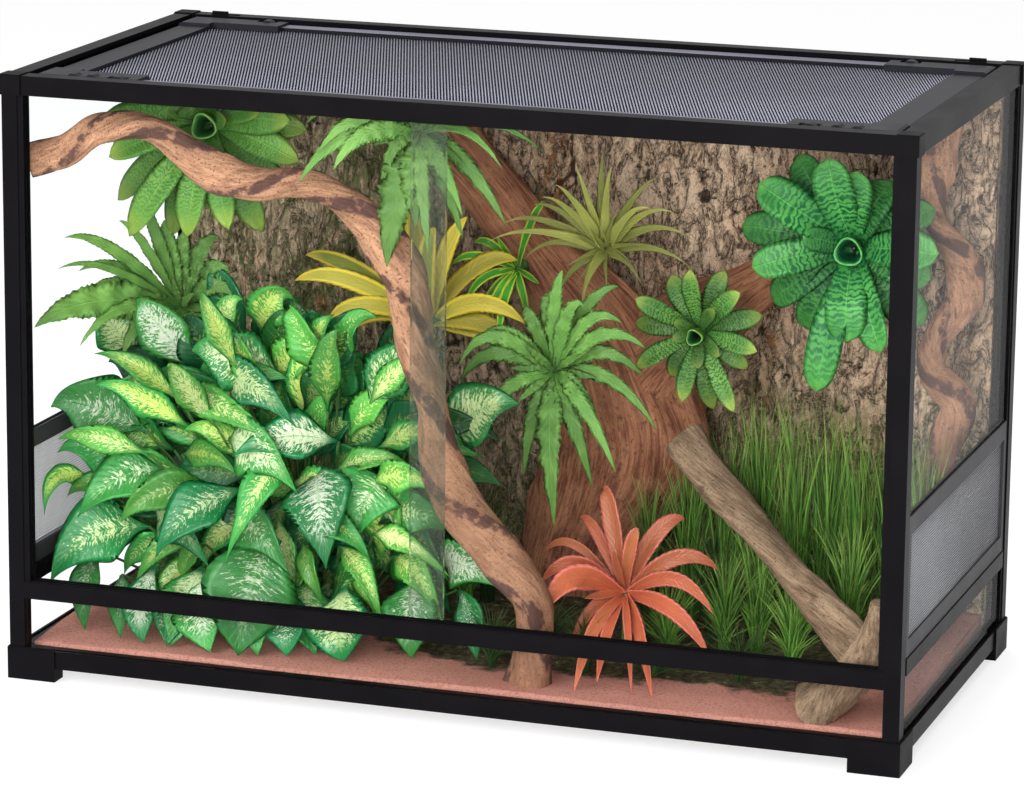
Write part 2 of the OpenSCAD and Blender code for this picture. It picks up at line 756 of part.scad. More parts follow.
module sand_solid() {
  nx = 12;
  ny = 6;
  top = [for (i = [0 : nx], j = [0 : ny])
    let (x = lerp(-bed_x, bed_x, i / nx), y = lerp(-203, 184, j / ny)) [x, y, sand_z(x, y)]];
  front = [for (i = [0 : nx]) [lerp(-bed_x, bed_x, i / nx), -203, 26]];
  back = [for (i = [0 : nx]) [lerp(-bed_x, bed_x, i / nx), 184, 26]];
  polyhedron(concat(top, front, back), grid_faces(nx, ny, false), convexity = 4);
}
// Everything below the surface of the sand, to cut what stands on it.
module ground() {
  sand_solid();
  box3([-500, -300, -60], [500, 300, 30]);
}
module sand_bed() {
  color([0.86, 0.56, 0.5]) inside() sand_solid();
}
module bark_panel() {
  nx = 15;
  nz = 9;
  z0 = 26 + (base_top + slide_gap - floor_top) / kz;
  face = [for (i = [0 : nx], j = [0 : nz])
    let (x = lerp(-bed_x, bed_x, i / nx), z = lerp(z0, 574, j / nz)) [x, bark_y(x, z), z]];
  low = [for (i = [0 : nx]) [lerp(-bed_x, bed_x, i / nx), 209, z0]];
  high = [for (i = [0 : nx]) [lerp(-bed_x, bed_x, i / nx), 209, 574]];
  color([0.42, 0.36, 0.28]) inside()
    polyhedron(concat(face, low, high), grid_faces(nx, nz, false), convexity = 6);
}
TRUNK = [[22, 146, 30], [22, 146, 70], [42, 148, 133], [60, 148, 205], [30, 148, 306],
  [-26, 148, 386], [-66, 148, 430], [-130, 148, 500], [-172, 148, 560]];
TRUNK_ARM = [[70, 148, 250], [130, 148, 318], [200, 148, 372], [262, 148, 420],
  [296, 148, 470]];
module trunk_solid() {
  limb(TRUNK, [[74, 36, 0], [66, 36, 0], [78, 36, 0], [92, 36, 0], [66, 34, 0],
    [38, 32, 0], [34, 30, 0], [32, 28, 0], [28, 26, 0]], 2, 10);
  limb(TRUNK_ARM, [[60, 34, 0], [48, 32, 0], [26, 26, 0], [22, 22, 0], [16, 16, 0]], 1, 8);
  knots(TRUNK, 30);
}
module trunk() {
  color([0.42, 0.2, 0.13]) inside() difference() {
    trunk_solid();
    ground();
    box3([-300, 183.5, 0], [440, 240, 700]);
    box3([-440, 0, 576], [440, 240, 700]);
  }
}
LIANA_L = [[-433, -197, 512], [-398, -188, 524], [-366, -176, 545], [-316, -166, 546],
  [-262, -160, 512], [-215, -155, 498], [-166, -138, 498], [-118, -124, 468],
  [-72, -128, 410], [-48, -160, 350], [-30, -168, 300], [-20, -170, 250],
  [4, -170, 200], [48, -170, 152], [74, -168, 112], [72, -164, 60], [66, -160, 24]];
LIANA_L_SIZE = [[15, 6, 0], [17, 8, 20], [20, 12, 60], [20, 12, 120], [19, 13, 170],
  [17, 12, 220], [20, 13, 270], [21, 14, 330], [22, 14, 380], [20, 15, 430], [18, 15, 480],
  [20, 15, 530], [24, 16, 580], [24, 18, 610], [25, 18, 640], [24, 18, 660], [28, 22, 680]];
module liana_left() {
  color([0.5, 0.34, 0.24]) inside() difference() {
    union() {
      limb(LIANA_L, LIANA_L_SIZE, 1, 8);
      knots(LIANA_L, 13);
    }
    ground();
    box3([-460, -230, 0], [460, -203.5, 600]);
  }
}
LIANA_R = [[392, 120, 572], [387, 122, 510], [381, 122, 462], [410, 122, 420],
  [416, 122, 380], [392, 122, 342], [386, 122, 306], [412, 122, 274], [403, 122, 236],
  [386, 122, 176], [380, 124, 110], [384, 126, 30]];
module liana_right() {
  color([0.5, 0.34, 0.24]) inside() difference() {
    union() {
      limb(LIANA_R, [[18, 12, 0], [18, 13, 30], [20, 12, 90], [20, 12, 150], [17, 12, 200],
        [19, 13, 260], [20, 13, 310], [18, 13, 370], [18, 14, 420], [19, 15, 460],
        [20, 16, 500], [24, 20, 540]], 1, 8);
      knots(LIANA_R, 12);
    }
    ground();
  }
}
PROP_A = [[158, 40, 236], [196, 20, 200], [250, -20, 168], [308, -66, 132], [356, -104, 104],
  [404, -142, 74]];
PROP_B = [[421, -178, 150], [412, -176, 118], [396, -176, 84], [372, -176, 56], [350, -176, 30]];
module branch_props() {
  color([0.45, 0.36, 0.28]) inside() difference() {
    union() {
      limb(PROP_A, [[20, 16, 0], [19, 15, 40], [23, 15, 90], [22, 15, 130], [21, 14, 180],
        [22, 14, 220]], 1, 8);
      limb(PROP_B, [[14, 13, 0], [16, 14, 30], [26, 16, 60], [36, 20, 90], [40, 24, 110]], 1, 8);
      knots(PROP_A, 14);
      knots(PROP_B, 16);
    }
    ground();
    box3([436, -230, 0], [460, 230, 600]);
    box3([-460, -230, 0], [460, -203.5, 600]);
  }
}

// Plants
// Shrub leaves: base x, y, z, tip x, y, z and width.
SHRUB = [
  [-350, -110, 232, -434, -150, 258, 66], [-356, -100, 174, -432, -140, 210, 44],
  [-343, -120, 137, -429, -168, 84, 64], [-301, -90, 291, -355, -120, 366, 50],
  [-243, -70, 329, -204, -80, 370, 39], [-151, -100, 290, -196, -110, 369, 38],
  [-152, -90, 303, -110, -100, 363, 36], [-280, -100, 290, -176, -150, 261, 45],
  [-147, -110, 239, -238, -160, 228, 45], [-271, -120, 187, -352, -170, 153, 40],
  [-241, -120, 186, -313, -175, 122, 48], [-196, -130, 227, -237, -180, 127, 38],
  [-167, -120, 212, -138, -165, 126, 68], [-204, -130, 142, -220, -178, 42, 78],
  [-282, -130, 103, -294, -170, 55, 50], [-360, -130, 98, -350, -165, 42, 44],
  [-273, -140, 98, -250, -176, 42, 50], [-134, -125, 98, -116, -160, 42, 60],
  [-110, -90, 118, -81, -110, 217, 44], [-51, -84, 244, 35, -96, 289, 58],
  [-52, -80, 122, 23, -100, 104, 48], [-65, -100, 104, -50, -128, 44, 50],
  [-98, -110, 205, -121, -140, 145, 58], [-230, -80, 287, -163, -90, 330, 42],
  [-210, -90, 292, -292, -130, 322, 56], [-120, -96, 268, -60, -104, 330, 46],
  [-262, -112, 232, -170, -158, 196, 52], [-118, -104, 172, -36, -108, 158, 52],
  [-250, -118, 152, -176, -164, 116, 46]];
function shrub_stem(k, z) =
  [-206 + k * lerp(12, 46, (z - 24) / (266 - 22 * k * k)), -50, z];
module shrub_solid() {
  for (r = SHRUB) {
    b = [r[0], r[1], r[2]];
    d = [r[3], r[4], r[5]] - b;
    k = max(-2, min(2, round((b[0] + 206) / 66)));
    z = min(max(60, b[2] - 30), 280 - 24 * k * k);
    leaf(b, atan2(d[2], d[0]), norm([d[0], d[2]]), r[6], OVAL, -d[1], 8, 0, 0.16, shrub_stem(k, z));
  }
  for (k = [-2 : 2]) stalk(shrub_stem(k, 24), shrub_stem(k, 290 - 22 * k * k), 3);
  for (k = [-2 : 1]) stalk(shrub_stem(k, 60), shrub_stem(k + 1, 60), 3);
}
module shrub() {
  color([0.2, 0.5, 0.2]) inside() difference() {
    shrub_solid();
    ground();
    box3([-500, -300, 0], [-436, 300, 600]);
    box3([-500, -300, 0], [500, -203.5, 600]);
  }
}
module bromeliad_top() {
  c = [-298, -60, 536];
  color([0.3, 0.58, 0.15]) inside() difference() {
    union() {
      rosette(c, 10, 100, 38, STRAP, 10, 34, 14, 16, 0.34);
      crown(c, 9);
      peg(c, 196);
    }
    box3([-436, -300, 576], [436, 300, 700]);
    box3([-302, 184, 0], [440, 300, 700]);
  }
}
module fern_left() {
  c = [-340, -16, 337];
  color([0.32, 0.62, 0.25]) inside() difference() {
    union() {
      for (a = [12, 50, 84, 116, 150, 205, 240, 300])
        leaf(c + 4 * [cos(a), 0, sin(a)], a, cos(a) > 0 ? 96 : 84, 25, FROND, 30, 10, 30);
      leaf(c, 176, 84, 32, FROND, 150, 26, 6);
      crown(c, 9);
      side_peg(c, -438);
    }
    shrub_solid();
  }
}
module fern_hanging() {
  c = [-54, -138, 556];
  color([0.36, 0.64, 0.28]) inside() difference() {
    union() {
      for (a = [184, 207, 230, 296, 318, 340, 2])
        leaf(c + 4 * [cos(a), 0, sin(a)], a, 104 + 8 * wave(a, 3), 24, FROND,
          sin(a) < -0.7 ? 40 : 16, 8, 34);
      leaf(c, 262, 124, 33, FROND, 42, 8, 4);
      leaf(c + [5, 7, 0], 278, 130, 26, FROND, 2, 4, 4);
      crown(c, 9);
      translate([c[0], c[1] + 4, c[2]]) cylinder(r = 4, h = 20, $fn = 8);
    }
    box3([-436, -300, 577], [436, 300, 700]);
    box3([-500, -300, 0], [500, -203.5, 600]);
  }
}
module striped_plant() {
  c = [-120, 80, 322];
  color([0.8, 0.75, 0.2]) inside() difference() {
    union() {
      for (k = [0 : 9]) {
        a = [4, 30, 52, 74, 100, 126, 150, 172, 186, 344][k];
        leaf(c + 5 * [cos(a), 0, sin(a)], a, 128 - (k % 2) * 22, 19, STRAP, 20 + 14 * (k % 3),
          8, abs(cos(a)) * 26, 0.2);
      }
      crown(c, 9);
      peg(c, 196);
    }
    box3([-302, 183, 0], [440, 300, 700]);
  }
}
module air_plant() {
  c = [61, 86, 410];
  color([0.66, 0.64, 0.34]) inside() difference() {
    union() {
      for (k = [0 : 11]) {
        a = 18 + k * 30;
        leaf(c + 4 * [cos(a), 0, sin(a)], a, sin(a) < -0.5 ? 78 : 100 - 14 * (k % 3), 10, BLADE,
          14 + 16 * (k % 2), 6, 10, 0.2);
      }
      crown(c, 7);
      peg(c, 150);
    }
    trunk_solid();
  }
}
module fern_centre() {
  c = [42, -14, 305];
  color([0.36, 0.66, 0.28]) inside() difference() {
    union() {
      for (k = [0 : 10]) {
        a = 20 + k * 32.7;
        leaf(c + 4 * [cos(a), 0, sin(a)], a, 116 - 18 * (k % 2), 24, FROND, 14 + 18 * (k % 2),
          8, 26 + 16 * abs(cos(a)));
      }
      crown(c, 9);
      peg(c, 160);
    }
    trunk_solid();
  }
}
module bromeliad_light() {
  c = [168, 62, 338];
  color([0.42, 0.62, 0.16]) inside() difference() {
    union() {
      rosette(c, 10, 76, 27, STRAP, 16, 24, 10, 8);
      crown(c, 8);
      peg(c, 150);
    }
    trunk_solid();
  }
}
module bromeliad_dark() {
  c = [315, 84, 430];
  color([0.08, 0.42, 0.22]) inside() difference() {
    union() {
      rosette(c, 10, 126, 44, STRAP, 8, 36, 16, 10);
      crown(c, 11);
      peg(c, 196);
    }
    trunk_solid();
    box3([436, -300, 0], [500, 300, 700]);
    box3([-302, 183, 0], [440, 300, 700]);
    box3([-302, -300, 576], [440, 300, 700]);
  }
}
module bromeliad_red() {
  c = [141, -84, 121];
  color([0.82, 0.36, 0.26]) inside() difference() {
    union() {
      for (k = [0 : 10]) {
        a = [8, 30, 58, 80, 104, 136, 160, 190, 262, 300, 336][k];
        leaf(c + 5 * [cos(a), 0, sin(a)], a, sin(a) < -0.4 ? 92 : 98 - 10 * (k % 2), 19, STRAP,
          14 + 16 * (k % 2), 10, 6 + 30 * abs(cos(a)), 0.2);
      }
      crown(c, 9);
      stalk(c, [c[0], c[1] + 8, 40], 4);
    }
    ground();
  }
}
module tuft(c, count, h, spread, w) {
  for (k = [0 : count - 1]) {
    s = (k + 0.5) / count * 2 - 1;
    hull() leaf(c + [s * 15, 4 * wave(k, 4), 2], 90 - s * spread, h * (0.78 + 0.22 * wave(k, 5)),
      w, BLADE, 10 * wave(k, 6), 0, 34 * abs(s), 0.3);
  }
  translate(c + [0, 0, -10]) cylinder(r1 = 12, r2 = 19, h = 15, $fn = 5);
}
module grass_tall() {
  color([0.3, 0.5, 0.14]) inside() difference() {
    union() {
      tuft([136, 72, 44], 5, 170, 22, 6);
      tuft([204, 74, 44], 5, 205, 18, 6);
      tuft([276, 74, 44], 6, 230, 16, 6);
      tuft([346, 70, 44], 5, 215, 14, 6);
    }
    ground();
    trunk_solid();
  }
}
module grass_dark() {
  color([0.16, 0.24, 0.1]) inside() difference() {
    union() {
      tuft([-384, 20, 44], 5, 180, 20, 4);
      tuft([-350, 96, 44], 5, 160, 24, 4);
      tuft([400, 64, 44], 5, 165, 8, 4);
      tuft([112, -120, 40], 5, 84, 26, 4);
    }
    ground();
    box3([436, -300, 0], [500, 300, 700]);
    box3([-500, -300, 0], [-436, 300, 700]);
  }
}

base_rail_front();
base_rail_back();
base_rail_left();
base_rail_right();
feet();
floor_glass();
post_front_left();
post_front_right();
post_back_left();
post_back_right();
top_rail_front();
top_rail_back();
top_rail_left();
top_rail_right();
top_corners();
door_sill();
door_jambs();
front_low_glass();
door_left_glass();
door_right_glass();
door_seal();
back_glass();
side_glass_left();
side_glass_right();
vent_frame_left();
vent_frame_right();
vent_mesh_left();
vent_mesh_right();
mid_rail_left();
mid_rail_right();
low_glass_left();
low_glass_right();
lid_rails();
lid_corners();
lid_screen();
latch_front_left();
latch_front_right();
latch_back_left();
latch_back_right();
cable_gate_left();
cable_gate_right();
sand_bed();
bark_panel();
trunk();
liana_left();
liana_right();
branch_props();
shrub();
bromeliad_top();
fern_left();
fern_hanging();
striped_plant();
air_plant();
fern_centre();
bromeliad_light();
bromeliad_dark();
bromeliad_red();
grass_tall();
grass_dark();
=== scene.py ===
"""Looks of a planted reptile terrarium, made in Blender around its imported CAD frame.

Metres throughout, +X to the right seen from the doors, +Y to the back, +Z up, as in the CAD.
"""

import logging
import math
from dataclasses import dataclass, field
from enum import Enum
from typing import Any, Optional, Sequence

import bpy
import numpy as np
from mathutils import Matrix, Vector

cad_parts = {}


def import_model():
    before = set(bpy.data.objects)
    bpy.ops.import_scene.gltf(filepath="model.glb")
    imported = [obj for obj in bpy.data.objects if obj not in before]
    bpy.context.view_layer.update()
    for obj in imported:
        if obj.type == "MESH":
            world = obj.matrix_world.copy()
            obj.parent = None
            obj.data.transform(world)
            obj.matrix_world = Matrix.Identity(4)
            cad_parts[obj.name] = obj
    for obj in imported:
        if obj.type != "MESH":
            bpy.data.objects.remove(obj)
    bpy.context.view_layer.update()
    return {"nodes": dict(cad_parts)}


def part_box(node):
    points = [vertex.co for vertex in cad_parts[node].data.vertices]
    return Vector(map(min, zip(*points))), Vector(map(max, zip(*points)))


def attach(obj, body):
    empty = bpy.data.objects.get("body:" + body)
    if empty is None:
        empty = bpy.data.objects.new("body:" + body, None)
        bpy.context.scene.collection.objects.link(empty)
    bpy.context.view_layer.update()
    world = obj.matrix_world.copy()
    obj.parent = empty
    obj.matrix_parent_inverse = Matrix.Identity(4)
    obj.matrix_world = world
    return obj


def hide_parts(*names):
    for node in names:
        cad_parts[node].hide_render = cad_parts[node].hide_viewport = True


Array = np.ndarray
Colour = tuple[float, float, float]
MM = 0.001
LOG = logging.getLogger("terrarium")


def srgb(red: int, green: int, blue: int) -> Colour:
    """Linear colour of a screen colour given as 0 to 255.

    Args:
        red: Screen red.
        green: Screen green.
        blue: Screen blue.

    Returns:
        Three linear values, by the usual 2.4 power curve.
    """
    return tuple(c / 12.92 if c <= 0.04045 else ((c + 0.055) / 1.055) ** 2.4
                 for c in (red / 255, green / 255, blue / 255))


class Room(Enum):
    """Limits of the space inside the cabinet, in metres."""

    LEFT = -0.4352
    RIGHT = 0.4352
    FRONT = -0.2016
    BACK = 0.2020
    LOW = 0.0275
    HIGH = 0.5755


class Space(Enum):
    """Where a pattern takes its coordinates from."""

    OBJECT = "Object"
    SURFACE = "UV"


# ---------------------------------------------------------------- noise and shapes


def lattice_noise(points: Array, seed: int) -> Array:
    """Smooth value noise: each whole-number corner has a hashed height, blended by 3t^2 - 2t^3.

    Args:
        points: Places, shape (..., 3), one unit per cell.
        seed: Chooses another field.

    Returns:
        Heights from -1 to 1, shape (...).
    """
    cell = np.floor(points).astype(np.int64)
    part = points - cell
    ease = part * part * (3 - 2 * part)
    total = np.zeros(points.shape[:-1])
    for corner in range(8):
        step = np.array([corner & 1, corner >> 1 & 1, corner >> 2])
        at = cell + step
        mixed = (at[..., 0] * 73856093) ^ (at[..., 1] * 19349663) ^ (at[..., 2] * 83492791)
        mixed = (mixed ^ (seed * 2654435761)) & 0xFFFFFFFF
        mixed = (mixed ^ (mixed >> 15)) * 2246822519 & 0xFFFFFFFF
        mixed = (mixed ^ (mixed >> 13)) * 3266489917 & 0xFFFFFFFF
        height = ((mixed ^ (mixed >> 16)) & 0xFFFF) / 32767.5 - 1
        share = np.prod(np.where(step == 1, ease, 1 - ease), axis=-1)
        total = total + share * height
    return total


def layered_noise(points: Array, seed: int, layers: int = 3) -> Array:
    """Sum of noise fields, each twice as fine and half as high as the one before.

    Args:
        points: Places, shape (..., 3).
        seed: Chooses another field.
        layers: How many fields are summed.

    Returns:
        Heights of about -1 to 1, shape (...).
    """
    return sum(lattice_noise(points * 2.0 ** k, seed + 17 * k) * 0.5 ** k for k in range(layers)) / 1.5


def plate_gap(u: Array, v: Array, seed: int) -> tuple[Array, Array]:
    """Distance to the crack between bark plates: second nearest minus nearest hashed point.

    Args:
        u: First coordinate, one unit per plate.
        v: Second coordinate, one unit per plate.
        seed: Chooses other plates.

    Returns:
        The gap, 0 on a crack, and a height from 0 to 1 for the nearest plate.
    """
    cu, cv = np.floor(u).astype(np.int64), np.floor(v).astype(np.int64)
    first = np.full(u.shape, 9.0)
    second = np.full(u.shape, 9.0)
    tone = np.zeros(u.shape)
    for du in (-1, 0, 1):
        for dv in (-1, 0, 1):
            a, b = cu + du, cv + dv
            mixed = (a * 73856093 ^ b * 19349663 ^ seed * 83492791) & 0xFFFFFFFF
            mixed = (mixed ^ (mixed >> 13)) * 3266489917 & 0xFFFFFFFF
            pu = a + 0.5 + 0.42 * ((mixed & 0xFFF) / 2047.5 - 1)
            pv = b + 0.5 + 0.42 * ((mixed >> 12 & 0xFFF) / 2047.5 - 1)
            far = np.hypot(u - pu, v - pv)
            nearer = far < first
            second = np.where(nearer, first, np.minimum(second, far))
            tone = np.where(nearer, (mixed >> 24 & 0xFF) / 255, tone)
            first = np.where(nearer, far, first)
    return second - first, tone


def ease(x: Array, low: float, high: float) -> Array:
    """0 below low, 1 above high and 3t^2 - 2t^3 between."""
    t = np.clip((x - low) / (high - low), 0, 1)
    return t * t * (3 - 2 * t)


def unit(v: Array) -> Array:
    """Each vector divided by its length."""
    return v / np.maximum(np.linalg.norm(v, axis=-1, keepdims=True), 1e-9)


def through(points: Array, count: int) -> Array:
    """Catmull-Rom curve through control rows, at even steps of their index.

    Args:
        points: Control rows, shape (rows, any).
        count: How many rows come back.

    Returns:
        The curve: half of 2b + (c-a)t + (2a-5b+4c-d)t^2 + (3b-a-3c+d)t^3 between b and c.
    """
    rows = len(points)
    at = np.linspace(0, rows - 1, count)
    i = np.minimum(at.astype(int), rows - 2)
    t = (at - i)[:, None]
    a, b = points[np.maximum(i - 1, 0)], points[i]
    c, d = points[i + 1], points[np.minimum(i + 2, rows - 1)]
    return 0.5 * (2 * b + (c - a) * t + (2 * a - 5 * b + 4 * c - d) * t ** 2
                  + (3 * b - a - 3 * c + d) * t ** 3)


def within_room(points: Array) -> Array:
    """Points held inside the cabinet by clipping each coordinate."""
    low = np.array([Room.LEFT.value, Room.FRONT.value, Room.LOW.value])
    high = np.array([Room.RIGHT.value, Room.BACK.value, Room.HIGH.value])
    return np.clip(points, low, high)


@dataclass
class Skin:
    """Closed rings of points along items, ready to become faces.

    Attributes:
        points: Places, shape (items, along, round, 3).
        across: Texture coordinate of each point of a ring and of the closing one, shape (round + 1).
        shade: One value for each item, for its colour.
        mark: One value for each point, such as a groove's depth, or None.
    """

    points: Array
    across: Array
    shade: Array
    mark: Optional[Array] = None

    def turned_out(self) -> "Skin":
        """The skin with every item's faces outwards.

        Returns:
            Itself, with the rings reversed where the sum of the tetrahedra's volumes is negative.
        """
        p = self.points - self.points.mean(axis=(1, 2), keepdims=True)
        q = np.roll(p, -1, axis=2)
        a, b, c, d = p[:, :-1], p[:, 1:], q[:, 1:], q[:, :-1]
        volume = (np.einsum("nijk,nijk->n", a, np.cross(b, c)) + np.einsum("nijk,nijk->n", a, np.cross(c, d)))
        self.flip = volume < 0
        return self


def make_piece(name: str, skins: Sequence[Skin], body: str, material: bpy.types.Material,
               replaced: Sequence[str] = ()) -> bpy.types.Object:
    """One object of all the skins, with a fan of triangles over both ends of each item.

    Args:
        name: The piece's name.
        skins: Its skins.
        body: The CAD body that it rides on.
        material: Its finish.
        replaced: CAD nodes that it stands for.

    Returns:
        The linked object, with the map "along" and the attributes "shade" and "mark".
    """
    places, loops, sizes, maps, shades, marks = [], [], [], [], [], []
    base = 0
    for skin in skins:
        skin.turned_out()
        n, along, ring, _ = skin.points.shape
        mark = skin.mark if skin.mark is not None else np.zeros((n, along, ring))
        ends = skin.points[:, [0, -1]].mean(axis=2)
        places.append(np.concatenate([skin.points.reshape(n, -1, 3), ends], axis=1).reshape(-1, 3))
        marks.append(np.concatenate([mark.reshape(n, -1), mark[:, [0, -1]].mean(axis=2)], axis=1).ravel())
        shades.append(np.repeat(skin.shade, along * ring + 2))
        start = base + np.arange(n)[:, None] * (along * ring + 2)
        i, j = np.meshgrid(np.arange(along - 1), np.arange(ring), indexing="ij")
        i, j = i.ravel(), j.ravel()
        k = (j + 1) % ring
        quad = np.stack([i * ring + j, (i + 1) * ring + j, (i + 1) * ring + k, i * ring + k], -1)
        s, v = i / (along - 1), skin.across
        step = 1 / (along - 1)
        quad_map = np.stack([np.stack([s, v[j]], -1), np.stack([s + step, v[j]], -1),
                             np.stack([s + step, v[j + 1]], -1), np.stack([s, v[j + 1]], -1)], 1)
        j = np.arange(ring)
        k = (j + 1) % ring
        first = np.stack([np.full(ring, along * ring), j, k], -1)
        last = np.stack([np.full(ring, along * ring + 1), (along - 1) * ring + k, (along - 1) * ring + j], -1)
        fan_map = np.stack([np.full((ring, 2), [0, 0.5]), np.stack([np.zeros(ring), v[j]], -1),
                            np.stack([np.zeros(ring), v[j + 1]], -1)], 1)
        last_map = fan_map[:, [0, 2, 1]] + np.array([1, 0])
        for faces, coords in ((quad, quad_map), (np.concatenate([first, last]), np.concatenate([fan_map, last_map]))):
            every = start[:, :, None] + faces[None]
            every = np.where(skin.flip[:, None, None], every[:, :, ::-1], every)
            both = np.where(skin.flip[:, None, None, None], coords[None, :, ::-1], coords[None])
            loops.append(every.reshape(-1))
            maps.append(both.reshape(-1, 2))
            sizes.append(np.full(n * len(faces), faces.shape[1]))
        base += n * (along * ring + 2)
    places, loops, sizes = np.concatenate(places), np.concatenate(loops), np.concatenate(sizes)
    mesh = bpy.data.meshes.new(name)
    mesh.vertices.add(len(places))
    mesh.vertices.foreach_set("co", places.astype(np.float32).ravel())
    mesh.loops.add(len(loops))
    mesh.loops.foreach_set("vertex_index", loops.astype(np.int32))
    mesh.polygons.add(len(sizes))
    mesh.polygons.foreach_set("loop_start", np.concatenate([[0], np.cumsum(sizes)[:-1]]).astype(np.int32))
    mesh.polygons.foreach_set("use_smooth", np.ones(len(sizes), bool))
    mesh.uv_layers.new(name="along").data.foreach_set("uv", np.concatenate(maps).astype(np.float32).ravel())
    mesh.update(calc_edges=True)
    for label, values in (("shade", shades), ("mark", marks)):
        mesh.attributes.new(label, "FLOAT", "POINT").data.foreach_set(
            "value", np.concatenate(values).astype(np.float32))
    mesh.materials.append(material)
    piece = bpy.data.objects.new(name, mesh)
    bpy.context.scene.collection.objects.link(piece)
    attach(piece, body)
    if replaced:
        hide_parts(*replaced)
    LOG.info("%s: %d faces on %s", name, len(sizes), body)
    return piece


# ---------------------------------------------------------------- node sheets


class NodeSheet:
    """A material's nodes, laid with short calls. Its shader is one Principled node."""

    def __init__(self, name: str) -> None:
        """Starts a material of that name."""
        self.material = bpy.data.materials.new(name)
        self.material.use_nodes = True
        self.tree = self.material.node_tree
        self.tree.nodes.clear()
        self.out = self.add("ShaderNodeOutputMaterial")
        self.shader = self.add("ShaderNodeBsdfPrincipled")
        self.link(self.shader.outputs[0], self.out.inputs["Surface"])

    def add(self, kind: str, **settings: Any) -> bpy.types.Node:
        """A new node of that kind with those settings."""
        node = self.tree.nodes.new(kind)
        for key, value in settings.items():
            setattr(node, key, value)
        return node

    def link(self, source: Any, target: Any) -> None:
        """Joins an output to an input."""
        self.tree.links.new(source, target)

    def feed(self, socket: Any, value: Any) -> None:
        """Links value to the socket if it is an output, or else sets it there."""
        if isinstance(value, bpy.types.NodeSocket):
            self.link(value, socket)
        elif isinstance(value, tuple) and len(value) == 3 and socket.type == "RGBA":
            socket.default_value = (*value, 1.0)
        else:
            socket.default_value = value

    def set(self, **values: Any) -> None:
        """Feeds the shader's sockets; an underscore in a name stands for a space."""
        for key, value in values.items():
            self.feed(self.shader.inputs[key.replace("_", " ")], value)

    def place(self, space: Space, scale: Sequence[float] = (1, 1, 1),
              turn: Sequence[float] = (0, 0, 0)) -> Any:
        """Coordinates of that space, turned and then scaled by a Mapping node."""
        source = self.add("ShaderNodeTexCoord").outputs[space.value]
        mapping = self.add("ShaderNodeMapping")
        self.link(source, mapping.inputs["Vector"])
        mapping.inputs["Scale"].default_value = tuple(scale)
        mapping.inputs["Rotation"].default_value = tuple(math.radians(t) for t in turn)
        return mapping.outputs[0]

    def split(self, vector: Any) -> tuple[Any, Any, Any]:
        """The three parts of a vector."""
        node = self.add("ShaderNodeSeparateXYZ")
        self.link(vector, node.inputs[0])
        return node.outputs[0], node.outputs[1], node.outputs[2]

    def join(self, x: Any, y: Any, z: Any) -> Any:
        """A vector of three values."""
        node = self.add("ShaderNodeCombineXYZ")
        for socket, value in zip(node.inputs, (x, y, z)):
            self.feed(socket, value)
        return node.outputs[0]

    def noise(self, at: Any, scale: float, detail: float = 4, rough: float = 0.55, bend: float = 0) -> Any:
        """Noise from 0 to 1."""
        node = self.add("ShaderNodeTexNoise")
        self.link(at, node.inputs["Vector"])
        for key, value in (("Scale", scale), ("Detail", detail), ("Roughness", rough), ("Distortion", bend)):
            node.inputs[key].default_value = value
        return node.outputs[0]

    def cells(self, at: Any, scale: float, edge: bool = True) -> Any:
        """Distance to the nearest cell edge, or to the nearest cell point."""
        node = self.add("ShaderNodeTexVoronoi", feature="DISTANCE_TO_EDGE" if edge else "F1")
        self.link(at, node.inputs["Vector"])
        node.inputs["Scale"].default_value = scale
        return node.outputs["Distance"]

    def sums(self, kind: str, a: Any, b: Any = 0.5, c: Any = 0.5, clamp: bool = False) -> Any:
        """One Math node."""
        node = self.add("ShaderNodeMath", operation=kind, use_clamp=clamp)
        for socket, value in zip(node.inputs, (a, b, c)):
            self.feed(socket, value)
        return node.outputs[0]

    def reach(self, value: Any, low: float, high: float, start: float = 0, end: float = 1) -> Any:
        """value carried from low..high to start..end, smoothly and clamped."""
        node = self.add("ShaderNodeMapRange", interpolation_type="SMOOTHSTEP")
        for socket, part in zip(node.inputs, (value, low, high, start, end)):
            self.feed(socket, part)
        return node.outputs[0]

    def ramp(self, value: Any, *stops: tuple[float, Colour]) -> Any:
        """Colour by value through the stops."""
        node = self.add("ShaderNodeValToRGB")
        line = node.color_ramp
        while len(line.elements) < len(stops):
            line.elements.new(0.5)
        for element, (at, colour) in zip(line.elements, stops):
            element.position = at
            element.color = (*colour, 1)
        self.feed(node.inputs[0], value)
        return node.outputs[0]

    def blend(self, share: Any, a: Any, b: Any, way: str = "MIX") -> Any:
        """Colour a changed to b by that share."""
        node = self.add("ShaderNodeMix", data_type="RGBA", blend_type=way)
        self.feed(node.inputs[0], share)
        self.feed(node.inputs[6], a)
        self.feed(node.inputs[7], b)
        return node.outputs[2]

    def value_of(self, label: str) -> Any:
        """A float attribute of the mesh."""
        return self.add("ShaderNodeAttribute", attribute_name=label).outputs["Fac"]

    def tint(self, colour: Any, share: Any, low: float, high: float) -> Any:
        """Colour made darker or lighter as share goes from 0 to 1."""
        node = self.add("ShaderNodeHueSaturation")
        self.feed(node.inputs["Color"], colour)
        self.feed(node.inputs["Value"], self.reach(share, 0, 1, low, high))
        return node.outputs[0]

    def bump(self, height: Any, distance: float, strength: float = 1.0, below: Any = None) -> Any:
        """A normal bent by height."""
        node = self.add("ShaderNodeBump")
        node.inputs["Distance"].default_value = distance
        node.inputs["Strength"].default_value = strength
        self.link(height, node.inputs["Height"])
        if below is not None:
            self.link(below, node.inputs["Normal"])
        return node.outputs[0]


